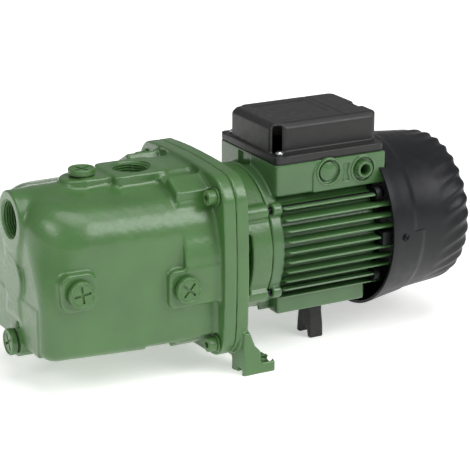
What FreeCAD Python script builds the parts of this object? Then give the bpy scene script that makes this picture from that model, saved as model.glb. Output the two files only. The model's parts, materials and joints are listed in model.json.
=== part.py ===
import FreeCAD, Part

# Shallow well jet pump: a self-priming cast pump end with its ejector, a motor bracket with two feet,
# and an air-cooled electric motor with a terminal box and a fan cover.
#
# Frame, in millimetres: +X runs along the shaft from the suction end to the fan end, +Z is up and
# -Y is the side with the two side plugs. The origin is on the floor, midway between the two foot holes.

import math
import os
import re

import Sketcher
from FreeCAD import Placement, Rotation, Vector

# Driving dimensions. Places along the shaft end in _x, radii in _r, thicknesses in _t, heights in _z.
SIZES = {
    # shaft line and foot
    "shaft_z": 100, "foot_y": 78, "foot_hole_r": 4.75, "foot_out": 10, "foot_in": 14, "foot_lug_t": 10,
    "foot_lug_x": 6, "foot_gusset_x": -8, "foot_gusset_z": 22, "foot_front_x": -25,
    # flange joint between the pump body and the bracket
    "seam_x": -31, "body_flange_t": 12, "bracket_flange_t": 12, "flange_half_w": 86, "flange_half_tall": 85,
    "flange_drop": 2, "flange_bow": 5, "flange_corner": 24,
    "bolt_y": 69, "bolt_up": 63, "bolt_down": 71, "bolt_r": 4, "bolt_gap": 0.5, "bolt_head_r": 6.5,
    "bolt_head_t": 8, "bolt_key_r": 3.4, "washer_t": 1.6, "washer_r": 8, "fit_gap": 0.05,
    # pump body
    "body_front_x": -203, "body_half_w": 71, "body_nose_r": 32,
    "body_edge_r": 26, "body_wall": 7, "drum_x": -74, "drum_r": 77, "chamber_r": 70, "chamber_x": -66,
    "nose_pad_r": 20, "nose_pad_x": -205, "pad_block_w": 30, "pad_block_r": 86,
    "pad_block_x": -53, "pad_turn": 43,
    # threaded ports, G1: the wall is drawn at the thread's minor radius
    "port_r": 15.15, "suction_x": -205,
    "suction_boss_r": 24.7, "delivery_x": -91, "delivery_half": 25, "strip_half": 16,
    # plugs with sealing rings, G3/8
    "plug_r": 8.2, "plug_len": 10, "plug_head_r": 11.8, "plug_head_t": 5.5, "plug_slot_w": 2.2,
    "plug_slot_t": 2.4, "plug_slot_len": 17, "seal_t": 1.6, "seal_out_r": 10.8, "plug_gap": 0.08,
    "fill_x": -137, "drain_boss_r": 14, "drain_face_x": -203.5,
    "side_front_x": -173, "side_front_y": -73.5, "side_boss_r": 17.5,
    "side_rear_x": -76, "side_rear_y": -77.5,
    # ejector: nozzle, venturi tube and the dome around them
    "dome_r": 33, "dome_rear_x": -146, "dome_wall": 6, "dome_front_x": -178, "duct_r": 15, "duct_x": -172,
    "nozzle_r": 10, "nozzle_seat_x": -190, "nozzle_tip_x": -160, "nozzle_tip_r": 5, "nozzle_bore_r": 3,
    "drive_duct_r": 6, "venturi_r": 15, "venturi_front_x": -157, "venturi_throat_r": 5,
    "venturi_rear_x": -58,
    # diffuser and impeller
    "diffuser_front_x": -60, "diffuser_rear_x": -33, "diffuser_r": 66, "diffuser_hub_r": 19,
    "diffuser_t": 4,
    "impeller_x": -50, "impeller_r": 56, "impeller_rear_x": -39, "impeller_eye_r": 16, "impeller_hub_r": 11,
    "impeller_disc_t": 2.5, "impeller_vanes": 6, "blade_t": 2.2, "blade_sweep": 55, "diffuser_vanes": 8,
    "window_w": 18, "vane_out": 5, "vane_t": 3, "key_w": 4,
    # mechanical seal
    "seal_bore_r": 17, "seat_x": -27, "seat_r": 16.4, "seat_t": 7, "ring_r": 14, "spring_wire_r": 1,
    # shaft and bearings
    "shaft_r": 8.5, "shaft_front_x": -54, "shaft_front_r": 7, "shaft_rear_x": 201, "bearing_in_r": 8.5,
    "bearing_out_r": 20, "bearing_t": 12, "bearing_ring_t": 3.3, "ball_r": 3.2, "balls": 8,
    "cage_half": 4.4, "front_bearing_x": 3,
    "rear_bearing_x": 122, "nut_t": 8, "nut_r": 9,
    # bracket behind its flange
    "lantern_r": 66.7, "lantern_end_x": 15, "lantern_wall": 7, "bearing_boss_r": 26, "rod_y": 56,
    "rod_up": 38,
    "rod_lug_r": 6.5, "rod_r": 2.5, "rod_head_r": 4.5, "rod_head_t": 4,
    # motor
    "casing_end_x": 124, "casing_bore_r": 58, "casing_r": 62, "casing_ring_x": 27, "fin_tip_r": 73,
    "fin_pitch": 9.4, "fin_t": 2.4, "fins_side": 10, "fin_end_x": 121,
    "rail_in": 36, "rail_out": 50, "fins_under": 7, "fin_under_pitch": 11,
    "stator_bore_r": 33, "stator_x": 34, "stator_len": 62, "slots": 24, "rotor_gap": 0.4, "coil_len": 14,
    "coil_in_r": 38, "coil_out_r": 54, "cage_ring_t": 7, "cage_ring_in_r": 20,
    # terminal box
    "box_x": 25, "box_len": 112, "box_half_w": 52.8, "box_wall": 4,
    "gasket_t": 1, "lid_band_t": 6.7, "lid_half_w": 40.1, "lid_inset": 2.9,
    "lid_wall": 2.5,
    "lid_bevel": 3, "entry_x": 113.5, "entry_r": 5.2, "entry_boss_r": 8, "entry_out": 5,
    "entry_dish_r": 11.7,
    "blank_x": 78, "dish_t": 2.5, "lid_screw_x": 9, "lid_screw_y": 43, "lid_screw_r": 2,
    "lid_screw_head_r": 4,
    "lid_screw_head_t": 2.6, "lid_screw_len": 14, "lid_boss_len": 20, "capacitor_r": 12.5,
    "capacitor_len": 62,
    "terminal_x": 81, "terminal_len": 40, "terminal_w": 24, "terminal_t": 7, "post_r": 2, "earth_x": 12,
    "small_screw_r": 2, "small_head_r": 4, "small_head_t": 3,
    # rear shield, fan and fan cover
    "shield_x": 124, "shield_t": 5, "shield_r": 62.5, "shield_boss_r": 25, "fan_x": 176, "fan_len": 22,
    "fan_r": 60, "fan_hub_r": 14, "fan_disc_t": 3, "fan_blades": 7, "clip_r": 11,
    "cover_x": 131, "cover_rim_r": 83, "cover_wall": 2.5, "cover_mid_x": 159, "cover_mid_r": 78,
    "cover_back_x": 211, "cover_back_r": 73, "cover_turn_x": 226, "cover_turn_r": 60.5, "cover_end_x": 236,
    "cover_end_r": 36, "cover_tip_x": 238, "cover_slots": 24, "cover_slot_w": 3.2, "cover_slot_in": 30,
    "cover_slot_out": 66, "cover_notch_gap": 2, "cover_screw_x": 145, "cover_screw_r": 2.5,
    "cover_screw_head_r": 3.6, "cover_screw_head_t": 2.2, "cover_screw_seat_r": 81.2, "cover_lug_w": 12,
    "cover_lug_r": 74.5,
    # rear support leg
    "leg_x": 72.5, "leg_len": 14, "leg_y": -22, "leg_half_w": 12.5, "leg_gap": 7.5, "leg_arch_z": 9,
    "leg_top_half_w": 10, "leg_foot_z": 0, "leg_waist_z": 24, "leg_screw_in": 6,
}

# Heights counted from the shaft axis. Each has a cell NAME_up, and a cell NAME_z that lifts with the shaft.
HEIGHTS = {
    "body_top": 70, "body_floor": -66, "nose_pad": -5, "suction": 48, "delivery": 78.6, "strip": 77,
    "drain": -63, "side_front": -1, "side_rear": -12, "foot_root": -60, "fin_low": -44.9,
    "rail": -64, "rail_top": -46, "box_low": 47.3, "box_top": 76.1, "lid_top": 109.8, "entry": 62.7,
}
CELLS = {alias: str(number) for alias, number in SIZES.items()}
for name, up in HEIGHTS.items():
    CELLS[name + "_up"] = str(up)
    CELLS[name + "_z"] = f"=shaft_z + {name}_up"

# Where the fan cover's screws stand, in degrees about the shaft from straight up.
COVER_SCREW_TURNS = (90, 200, 270, 340)

DOC = FreeCAD.newDocument("jet_pump")
SHEET = DOC.addObject("Spreadsheet::Sheet", "dims")
for row, (alias, content) in enumerate(CELLS.items(), 1):
    SHEET.set(f"A{row}", alias)
    SHEET.set(f"B{row}", content)
    SHEET.setAlias(f"B{row}", alias)
DOC.recompute()

WORD = re.compile(r"[a-z_][a-z0-9_]*")
NODES = []
LAY = {"x": Rotation(Vector(0, 1, 0), 90), "y": Rotation(Vector(1, 0, 0), -90), "z": Rotation()}
POINT = {"+x": Rotation(), "-x": Rotation(Vector(0, 0, 1), 180), "-y": Rotation(Vector(0, 0, 1), -90),
         "+z": Rotation(Vector(0, 1, 0), -90)}
ON_SHAFT = ("0", "0", "shaft_z")


def size(alias):
    """Read one size from the sheet."""
    return float(SHEET.get(alias))


def cell(expression):
    """Point each size name in an expression at its cell in the sheet."""
    return WORD.sub(lambda word: "dims." + word[0] if word[0] in CELLS else word[0], str(expression))


def bind(obj, prop, expression):
    obj.setExpression(prop, cell(expression))


def place(obj, at, turn=LAY["z"], spin=None):
    """Bind a piece's place to the sheet. With a spin, y and z count from the shaft axis and turn about it."""
    if spin is not None:
        x, y, z = at
        cosine = f"{math.cos(math.radians(spin)):.9f}"
        sine = f"{math.sin(math.radians(spin)):.9f}"
        at = (x, f"({y}) * {cosine} - ({z}) * {sine}", f"shaft_z + ({y}) * {sine} + ({z}) * {cosine}")
        turn = Rotation(Vector(1, 0, 0), spin).multiply(turn)
    obj.Placement = Placement(Vector(), turn)
    for axis, expression in zip("xyz", at):
        bind(obj, f".Placement.Base.{axis}", expression)
    return obj


def node(label, obj):
    """Give a finished piece the name of its file."""
    obj.Label = label
    NODES.append(obj)
    return obj


def rod(axis, at, length, radius, spin=None):
    obj = DOC.addObject("Part::Cylinder", "rod")
    bind(obj, "Radius", radius)
    bind(obj, "Height", length)
    return place(obj, at, LAY[axis], spin)


def block(corner, sides, spin=None):
    obj = DOC.addObject("Part::Box", "block")
    for prop, expression in zip(("Length", "Width", "Height"), sides):
        bind(obj, prop, expression)
    return place(obj, corner, spin=spin)


def joined(pieces):
    obj = DOC.addObject("Part::MultiFuse", "joined")
    obj.Shapes = pieces
    return obj


def less(base, tools):
    """Cut the tools out of the base."""
    obj = DOC.addObject("Part::Cut", "less")
    obj.Base = base
    obj.Tool = joined(tools) if len(tools) > 1 else tools[0]
    return obj


def group(pieces):
    """Hold separate solids together in one node."""
    obj = DOC.addObject("Part::Compound", "group")
    obj.Links = pieces
    return obj


def rounded(base, radius, chosen):
    """Fillet the edges that the chosen test picks."""
    DOC.recompute()
    obj = DOC.addObject("Part::Fillet", "rounded")
    obj.Base = base
    obj.Edges = [(i, radius, radius) for i, edge in enumerate(base.Shape.Edges, 1) if chosen(edge)]
    return obj


def shaped(shape):
    """Wrap a shape that is drawn from sizes read out of the sheet."""
    obj = DOC.addObject("Part::Feature", "shaped")
    obj.Shape = shape
    return obj


def outline(body, role, points):
    """Draw a closed outline on one of the body's origin planes, each corner bound to the sheet."""
    sketch = body.newObject("Sketcher::SketchObject", "outline")
    plane = [feature for feature in body.Origin.OriginFeatures if feature.Role == role][0]
    sketch.AttachmentSupport = [(plane, "")]
    sketch.MapMode = "FlatFace"
    count = len(points)
    turn = [2 * math.pi * i / count for i in range(count)]
    start = [Vector(20 + 10 * math.cos(a), 20 + 10 * math.sin(a), 0) for a in turn]
    for i in range(count):
        sketch.addGeometry(Part.LineSegment(start[i], start[(i + 1) % count]), False)
    for i in range(count):
        sketch.addConstraint(Sketcher.Constraint("Coincident", i, 2, (i + 1) % count, 1))
    for i, (across, up) in enumerate(points):
        for kind, expression, now in (("DistanceX", across, start[i].x), ("DistanceY", up, start[i].y)):
            row = sketch.addConstraint(Sketcher.Constraint(kind, -1, 1, i, 1, now))
            sketch.setExpression(f"Constraints[{row}]", cell(expression))
    DOC.recompute()
    return sketch


def lathe(points, at=ON_SHAFT, point="+x"):
    """Turn an outline of (along, radius) corners about the body's own X axis."""
    body = DOC.addObject("PartDesign::Body", "turned")
    sketch = outline(body, "XZ_Plane", points)
    turned = body.newObject("PartDesign::Revolution", "revolution")
    turned.Profile = sketch
    turned.ReferenceAxis = (sketch, ["H_Axis"])
    turned.Angle = 360
    body.Tip = turned
    return place(body, at, POINT[point])


def plate(points, role, thickness, at):
    """Pad an outline drawn on an origin plane, on both sides of it."""
    body = DOC.addObject("PartDesign::Body", "plate")
    sketch = outline(body, role, points)
    pad = body.newObject("PartDesign::Pad", "pad")
    pad.Profile = sketch
    pad.Midplane = True
    bind(pad, "Length", thickness)
    body.Tip = pad
    return place(body, at)


def ring(x_0, x_1, inner, outer):
    """Outline of a plain ring about the shaft."""
    return [(x_0, inner), (x_1, inner), (x_1, outer), (x_0, outer)]


def around(count, make):
    """Make one piece for each of count steps round the shaft."""
    return [make(360.0 * i / count) for i in range(count)]


def bolt_places():
    """The four (y, z) places of the flange bolts, as expressions."""
    return [(f"{y} * bolt_y", z) for y in (-1, 1) for z in ("shaft_z + bolt_up", "shaft_z - bolt_down")]


def rod_places():
    """The four (y, z) places of the tie rods, as expressions."""
    return [(f"{y} * rod_y", f"shaft_z + {z} * rod_up") for y in (-1, 1) for z in (-1, 1)]


def lid_screw_places():
    """The two (x, y) places of the terminal box screws, as expressions."""
    return [("box_x + lid_screw_x", f"{side} * lid_screw_y") for side in (-1, 1)]


def screw(head_x, head_t, head_r, shank_r, shank_len, key_r, place_yz, drive):
    """A socket screw along X, with its head on the -X side."""
    y, z = place_yz
    head = rod("x", (head_x, y, z), head_t, head_r)
    shank = rod("x", (f"{head_x} + {head_t}", y, z), shank_len, shank_r)
    socket = DOC.addObject("Part::Prism", "socket")
    socket.Polygon = 6
    bind(socket, "Circumradius", key_r)
    bind(socket, "Height", drive)
    place(socket, (head_x, y, z), LAY["x"])
    return less(joined([head, shank]), [socket])


def flange_outline(x_0, thickness):
    """Square plate with bowed sides and rounded corners, standing across the shaft."""
    w = size("flange_half_w")
    tall = size("flange_half_tall")
    bow = size("flange_bow")
    corner = size("flange_corner")
    mid = (corner - bow) * (1 - math.sqrt(0.5))
    edges = []
    corners = []
    for y, z in ((1, 1), (-1, 1), (-1, -1), (1, -1)):
        side = Vector(0, y * (w - bow), z * (tall - corner))
        knee = Vector(0, y * (w - bow - mid), z * (tall - bow - mid))
        top = Vector(0, y * (w - corner), z * (tall - bow))
        corners.append((side, knee, top) if y * z > 0 else (top, knee, side))
    crowns = [Vector(0, 0, tall), Vector(0, -w, 0), Vector(0, 0, -tall), Vector(0, w, 0)]
    for i, (first, knee, last) in enumerate(corners):
        edges.append(Part.Arc(first, knee, last).toShape())
        edges.append(Part.Arc(last, crowns[i], corners[(i + 1) % 4][0]).toShape())
    shape = Part.Face(Part.Wire(edges)).extrude(Vector(size(thickness), 0, 0))
    obj = shaped(shape)
    return place(obj, (x_0, "0", "shaft_z - flange_drop"))


def is_upright(edge):
    a, b = edge.Vertexes[0].Point, edge.Vertexes[-1].Point
    return abs(a.x - b.x) + abs(a.y - b.y) < 1e-6 and abs(a.z - b.z) > 1


def soft_block(front, rear, half_w, low, high, nose_r, edge_r):
    """Block with a round nose at the suction end and rolled top and bottom edges."""
    base = block((front, f"-({half_w})", low),
                 (f"{rear} - ({front})", f"2 * ({half_w})", f"{high} - ({low})"))
    DOC.recompute()
    face_x = base.Shape.BoundBox.XMin
    back_x = base.Shape.BoundBox.XMax
    nosed = rounded(base, nose_r, lambda e: is_upright(e) and abs(e.Vertexes[0].Point.x - face_x) < 1e-6)
    DOC.recompute()

    def rolls(edge):
        box = edge.BoundBox
        flat = box.ZMax - box.ZMin < 1e-6
        return flat and not (box.XMax - box.XMin < 1e-6 and abs(box.XMax - back_x) < 1e-6)

    return rounded(nosed, edge_r, rolls)


def pump_body():
    """Cast pump body: rounded chamber, drum, flange, ports, plug bosses and the ejector dome."""
    core = soft_block("body_front_x", "seam_x - body_flange_t", "body_half_w", "body_floor_z", "body_top_z",
                      size("body_nose_r"), size("body_edge_r"))
    drum = rod("x", ("drum_x", "0", "shaft_z"), "seam_x - body_flange_t - drum_x", "drum_r")
    flange = flange_outline("seam_x - body_flange_t", "body_flange_t")
    solids = [core, drum, flange]
    lean = size("pad_turn")
    for angle in (lean, 180 - lean, lean - 180, -lean):
        solids.append(block(("drum_x", "-pad_block_w / 2", "drum_r - 20"),
                            ("pad_block_x - drum_x", "pad_block_w", "pad_block_r - drum_r + 20"), angle))
    boss_len = "suction_boss_r * 2"
    solids.append(rod("x", ("suction_x", "0", "suction_z"), boss_len, "suction_boss_r"))
    solids.append(rod("x", ("nose_pad_x", "0", "nose_pad_z"), "body_nose_r / 2", "nose_pad_r"))
    solids.append(rod("x", ("drain_face_x", "0", "drain_z"), "body_nose_r / 2", "drain_boss_r"))
    solids.append(block(("delivery_x - delivery_half", "-delivery_half", "body_top_z - 8"),
                        ("2 * delivery_half", "2 * delivery_half", "delivery_z - body_top_z + 8")))
    solids.append(block(("delivery_x", "-delivery_half + 3", "body_top_z - 8"),
                        ("seam_x - body_flange_t - delivery_x", "2 * (delivery_half - 3)",
                         "delivery_z - 1 - body_top_z + 8")))
    solids.append(block(("fill_x", "-strip_half", "body_top_z - 8"),
                        ("delivery_x - fill_x", "2 * strip_half", "strip_z - body_top_z + 8")))
    solids.append(rod("z", ("fill_x", "0", "body_top_z - 8"), "strip_z - body_top_z + 8", "strip_half"))
    solids.append(rod("y", ("side_front_x", "side_front_y", "side_front_z"), "-side_front_y - 40",
                      "side_boss_r"))
    solids.append(rod("y", ("side_rear_x", "side_rear_y", "side_rear_z"), "-side_rear_y - 40",
                      "side_boss_r"))
    solids.append(block(("side_rear_x", "side_rear_y", "side_rear_z - side_boss_r"),
                        ("seam_x - body_flange_t - side_rear_x", "-side_rear_y - 40", "2 * side_boss_r")))
    outside = joined(solids)

    wall = "body_wall"
    chamber = soft_block(f"body_front_x + {wall}", "chamber_x + 1", f"body_half_w - {wall}",
                         f"body_floor_z + {wall}", f"body_top_z - {wall}",
                         size("body_nose_r") - size("body_wall"), size("body_edge_r") - size("body_wall"))
    impeller_room = rod("x", ("chamber_x", "0", "shaft_z"), "seam_x - chamber_x", "chamber_r")
    dome = rod("x", ("body_front_x", "0", "shaft_z"), "dome_rear_x - body_front_x", "dome_r")
    chimney = block(("body_front_x", "-duct_r - dome_wall", "shaft_z"),
                    ("duct_x + duct_r + dome_wall - body_front_x", "2 * (duct_r + dome_wall)",
                     "body_top_z - shaft_z"))
    room = less(joined([chamber, impeller_room]), [dome, chimney])

    cuts = [room]
    cuts.append(rod("x", ("dome_front_x", "0", "shaft_z"), "dome_rear_x - dome_wall - dome_front_x",
                    "dome_r - dome_wall"))
    cuts.append(rod("z", ("duct_x", "0", "shaft_z"), "suction_z - shaft_z", "duct_r"))
    cuts.append(rod("x", ("suction_x", "0", "suction_z"), "duct_x - suction_x", "port_r"))
    cuts.append(rod("z", ("delivery_x", "0", f"body_top_z - {wall} - 3"),
                    f"delivery_z - body_top_z + {wall} + 3", "port_r"))
    cuts.append(rod("x", ("nozzle_seat_x", "0", "shaft_z"), "dome_front_x - nozzle_seat_x + 1", "nozzle_r"))
    cuts.append(rod("z", ("nozzle_seat_x + drive_duct_r - 3", "0", "shaft_z - dome_r - 2"), "dome_r + 2",
                    "drive_duct_r"))
    cuts.append(rod("x", ("dome_rear_x - dome_wall - 1", "0", "shaft_z"), "dome_wall + 2", "venturi_r"))
    hole = "plug_r + plug_gap"
    cuts.append(rod("z", ("fill_x", "0", f"body_top_z - {wall} - 3"), f"strip_z - body_top_z + {wall} + 3",
                    hole))
    cuts.append(rod("x", ("drain_face_x", "0", "drain_z"), "plug_len + 6", hole))
    cuts.append(rod("y", ("side_front_x", "side_front_y", "side_front_z"), "-side_front_y - 50", hole))
    cuts.append(rod("y", ("side_rear_x", "side_rear_y", "side_rear_z"), "-side_rear_y - 50", hole))
    for y, z in bolt_places():
        cuts.append(rod("x", ("seam_x - body_flange_t", y, z), "body_flange_t", "bolt_r + bolt_gap"))
        cuts.append(rod("x", ("drum_x - 4", y, z), "seam_x - body_flange_t - drum_x + 4", "washer_r + 1.5"))
    groove = lathe(ring("seam_x - 2.4", "seam_x", "chamber_r", "chamber_r + 3.2"))
    cuts.append(groove)
    return node("pump_body", less(outside, cuts))


def plug(name, at, point):
    """Cross-slotted plug and its sealing ring. The head stands on the ring, the ring on the boss."""
    head = lathe([("-plug_len", "0"), ("-plug_len", "plug_r - 1"), ("-plug_len + 1", "plug_r"),
                  ("0", "plug_r"),
                  ("0", "plug_head_r - 0.6"), ("0.6", "plug_head_r"), ("plug_head_t - 1.4", "plug_head_r"),
                  ("plug_head_t", "plug_head_r - 1.4"), ("plug_head_t", "0")], ("0", "0", "0"), "+x")
    slots = [block(("plug_head_t - plug_slot_t", f"-{wide} / 2", f"-{tall} / 2"),
                   ("plug_slot_t + 1", wide, tall))
             for wide, tall in (("plug_slot_len", "plug_slot_w"), ("plug_slot_w", "plug_slot_len"))]
    made = less(head, slots)
    lift = {"+z": ("0", "0", "seal_t"), "-x": ("-seal_t", "0", "0"), "-y": ("0", "-seal_t", "0")}[point]
    place(made, tuple(f"{a} + {b}" for a, b in zip(at, lift)), POINT[point])
    washer = lathe(ring("0", "seal_t", "plug_r + 0.1", "seal_out_r"), at, point)
    node(name, made)
    node(name + "_seal", washer)


def pump_plugs():
    plug("fill_plug", ("fill_x", "0", "strip_z"), "+z")
    plug("drain_plug", ("drain_face_x", "0", "drain_z"), "-x")
    plug("front_side_plug", ("side_front_x", "side_front_y", "side_front_z"), "-y")
    plug("rear_side_plug", ("side_rear_x", "side_rear_y", "side_rear_z"), "-y")


def ejector():
    """Nozzle, venturi tube and the two rings that seal them."""
    node("ejector_nozzle", lathe([
        ("nozzle_seat_x + 8", "nozzle_bore_r + 3"), ("nozzle_tip_x", "nozzle_bore_r"),
        ("nozzle_tip_x", "nozzle_tip_r"), ("dome_front_x + 6", "nozzle_r + 3"), ("dome_front_x",
                                                                                 "nozzle_r + 3"),
        ("dome_front_x", "nozzle_r - fit_gap"), ("nozzle_seat_x + 8", "nozzle_r - fit_gap")]))
    node("venturi_tube", lathe([
        ("venturi_front_x", "venturi_r - 2.5"), ("venturi_front_x + 14", "venturi_throat_r"),
        ("venturi_front_x + 26", "venturi_throat_r"), ("venturi_rear_x", "venturi_r - 4"),
        ("venturi_rear_x", "venturi_r - fit_gap"), ("dome_rear_x + 6", "venturi_r - fit_gap"),
        ("dome_rear_x + 6", "venturi_r + 3"), ("dome_rear_x", "venturi_r + 3"),
        ("dome_rear_x", "venturi_r - fit_gap"), ("venturi_front_x", "venturi_r - fit_gap")]))
    node("body_seal", lathe(ring("seam_x - 2.4", "seam_x", "chamber_r + 0.1", "chamber_r + 3.1")))


def diffuser_and_impeller():
    shell = lathe([
        ("diffuser_front_x", "venturi_r"), ("diffuser_front_x + diffuser_t", "venturi_r"),
        ("diffuser_front_x + diffuser_t", "diffuser_r - diffuser_t"),
        ("diffuser_rear_x", "diffuser_r - diffuser_t"), ("diffuser_rear_x", "diffuser_r"),
        ("diffuser_front_x", "diffuser_r")])
    count = int(size("diffuser_vanes"))
    windows = around(count, lambda angle: block(
        ("diffuser_front_x + 2 * diffuser_t", "-window_w / 2", "diffuser_r - 2 * diffuser_t"),
        ("diffuser_rear_x - diffuser_front_x - 3 * diffuser_t", "window_w", "3 * diffuser_t"), angle))
    open_shell = less(shell, windows)
    vanes = around(count, lambda angle: block(
        ("diffuser_front_x - vane_out", "-vane_t / 2", "diffuser_hub_r"),
        ("vane_out + diffuser_t / 2", "vane_t",
         "diffuser_r - diffuser_hub_r - diffuser_t"), angle + 180 / count))
    node("diffuser", joined([open_shell] + vanes))

    front = lathe([("impeller_x - 4", "impeller_eye_r - 2.5"), ("impeller_x", "impeller_eye_r - 2.5"),
                   ("impeller_x", "impeller_r"), ("impeller_x - impeller_disc_t", "impeller_r"),
                   ("impeller_x - impeller_disc_t", "impeller_eye_r"), ("impeller_x - 4",
                                                                        "impeller_eye_r")])
    back = lathe([("impeller_rear_x", "shaft_front_r"), ("impeller_rear_x", "impeller_hub_r"),
                  ("impeller_rear_x", "impeller_r"), ("impeller_rear_x - impeller_disc_t", "impeller_r"),
                  ("impeller_rear_x - impeller_disc_t", "impeller_hub_r"), ("impeller_x + 1",
                                                                            "impeller_hub_r - 1"),
                  ("impeller_x + 1", "shaft_front_r")])
    blades = around(int(size("impeller_vanes")), impeller_blade)
    node("impeller", less(joined([front, back] + blades),
                          [block(("impeller_x - 6", "-key_w / 2", "shaft_z + shaft_front_r - 3"),
                                 ("30", "key_w", "key_w"))]))


def impeller_blade(angle):
    """One backward-curved blade between the impeller's discs."""
    thick = size("blade_t")
    root = size("impeller_eye_r") + 1
    tip = size("impeller_r") - 0.5
    sweep = math.radians(size("blade_sweep"))
    step = thick / tip

    def on_blade(radius, turn):
        return Vector(0, radius * math.sin(turn), radius * math.cos(turn))

    faces = []
    for shift in (0, 1):
        start = on_blade(root, shift * thick / root)
        middle = on_blade(0.6 * tip, 0.35 * sweep + shift * thick / (0.6 * tip))
        faces.append(Part.Arc(start, middle, on_blade(tip, sweep + shift * step)))
    near, far = faces
    first = Part.LineSegment(near.StartPoint, far.StartPoint)
    last = Part.LineSegment(near.EndPoint, far.EndPoint)
    edges = [curve.toShape() for curve in (near, last, far, first)]
    wire = Part.Wire(Part.__sortEdges__(edges))
    depth = size("impeller_rear_x") - size("impeller_x")
    blade = shaped(Part.Face(wire).extrude(Vector(depth, 0, 0)))
    return place(blade, ("impeller_x", "0", "shaft_z"), Rotation(Vector(1, 0, 0), angle))


def shaft_seal():
    """Mechanical seal: cup and seat in the bracket, ring, spring and follower on the shaft."""
    node("seal_seat_cup", lathe([
        ("seat_x - 3", "seat_r - 2.4"), ("seat_x + seat_t", "seat_r - 2.4"), ("seat_x + seat_t",
                                                                              "seal_bore_r"),
        ("seat_x - 3", "seal_bore_r")]))
    node("seal_seat", lathe(ring("seat_x - 3", "seat_x + seat_t", "shaft_r + 1", "seat_r - 2.4")))
    node("seal_face_ring", lathe([
        ("seat_x - 3", "shaft_r + 0.3"), ("seat_x - 3", "ring_r - 2"), ("seat_x - 4.5", "ring_r - 2"),
        ("seat_x - 4.5", "ring_r"), ("seat_x - 6", "ring_r"), ("seat_x - 6", "shaft_r + 0.3")]))
    turns = 3
    pitch = (size("seat_x") - 6 - size("impeller_rear_x") - 2 * size("spring_wire_r")) / turns
    coil = Part.makeHelix(pitch, pitch * turns, size("ring_r") - 2.5)
    wire = Part.Wire(coil.Edges)
    start = wire.Vertexes[0].Point
    section = Part.Wire(Part.makeCircle(size("spring_wire_r"), start, Vector(0, 1, 0)))
    spring = shaped(wire.makePipeShell([section], True, True))
    place(spring, ("impeller_rear_x + spring_wire_r", "0", "shaft_z"), LAY["x"])
    node("seal_spring", spring)


def shaft_line():
    shaft = lathe([
        ("shaft_front_x - nut_t - 1", "0"), ("shaft_rear_x", "0"), ("shaft_rear_x", "bearing_in_r - 1.5"),
        ("rear_bearing_x + bearing_t + 10", "bearing_in_r - 1.5"),
        ("rear_bearing_x + bearing_t + 10", "bearing_in_r"), ("rear_bearing_x", "bearing_in_r"),
        ("rear_bearing_x", "bearing_in_r + 3"), ("front_bearing_x + bearing_t", "bearing_in_r + 3"),
        ("front_bearing_x + bearing_t", "shaft_r"), ("impeller_rear_x", "shaft_r"),
        ("impeller_rear_x", "shaft_front_r - fit_gap"), ("shaft_front_x - nut_t - 1",
                                                         "shaft_front_r - fit_gap")])
    slot = block(("impeller_x - 1", "-key_w / 2", "shaft_z + shaft_front_r - 3"), ("12", "key_w", "key_w"))
    node("shaft", less(shaft, [slot]))
    node("impeller_key", block(("impeller_x + 1", "-key_w / 2", "shaft_z + shaft_front_r - 3"),
                               ("10", "key_w", "key_w")))
    nut = DOC.addObject("Part::Prism", "hexagon")
    nut.Polygon = 6
    bind(nut, "Circumradius", "nut_r")
    bind(nut, "Height", "nut_t")
    place(nut, ("shaft_front_x - nut_t + 1", "0", "shaft_z"), LAY["x"])
    node("impeller_nut", less(nut, [rod("x", ("shaft_front_x - nut_t", "0", "shaft_z"), "nut_t + 4",
                                        "shaft_front_r - fit_gap")]))


def bearing(name, x_0):
    """Deep-groove ball bearing: two grooved rings, the balls and their cage."""
    middle = f"{x_0} + bearing_t / 2"
    pitch_r = "(bearing_in_r + bearing_out_r) / 2"
    race = DOC.addObject("Part::Torus", "race")
    bind(race, "Radius1", pitch_r)
    bind(race, "Radius2", "ball_r + 0.25")
    place(race, (middle, "0", "shaft_z"), LAY["x"])
    inner = lathe(ring(x_0, f"{x_0} + bearing_t", "bearing_in_r", "bearing_in_r + bearing_ring_t"))
    outer = lathe(ring(x_0, f"{x_0} + bearing_t", "bearing_out_r - bearing_ring_t", "bearing_out_r"))
    node(name + "_inner_ring", less(inner, [race]))
    node(name + "_outer_ring", less(outer, [race]))

    def ball(angle, radius):
        obj = DOC.addObject("Part::Sphere", "ball")
        bind(obj, "Radius", radius)
        turn = math.radians(angle)
        return place(obj, (middle, f"({pitch_r}) * {-math.sin(turn):.6f}",
                           f"shaft_z + ({pitch_r}) * {math.cos(turn):.6f}"))

    count = int(size("balls"))
    node(name + "_balls", group(around(count, lambda angle: ball(angle, "ball_r"))))
    cage = lathe(ring(f"{middle} - cage_half", f"{middle} + cage_half", f"{pitch_r} - 0.9",
                      f"{pitch_r} + 0.9"))
    node(name + "_cage", less(cage, around(count, lambda angle: ball(angle, "ball_r"))))


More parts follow.
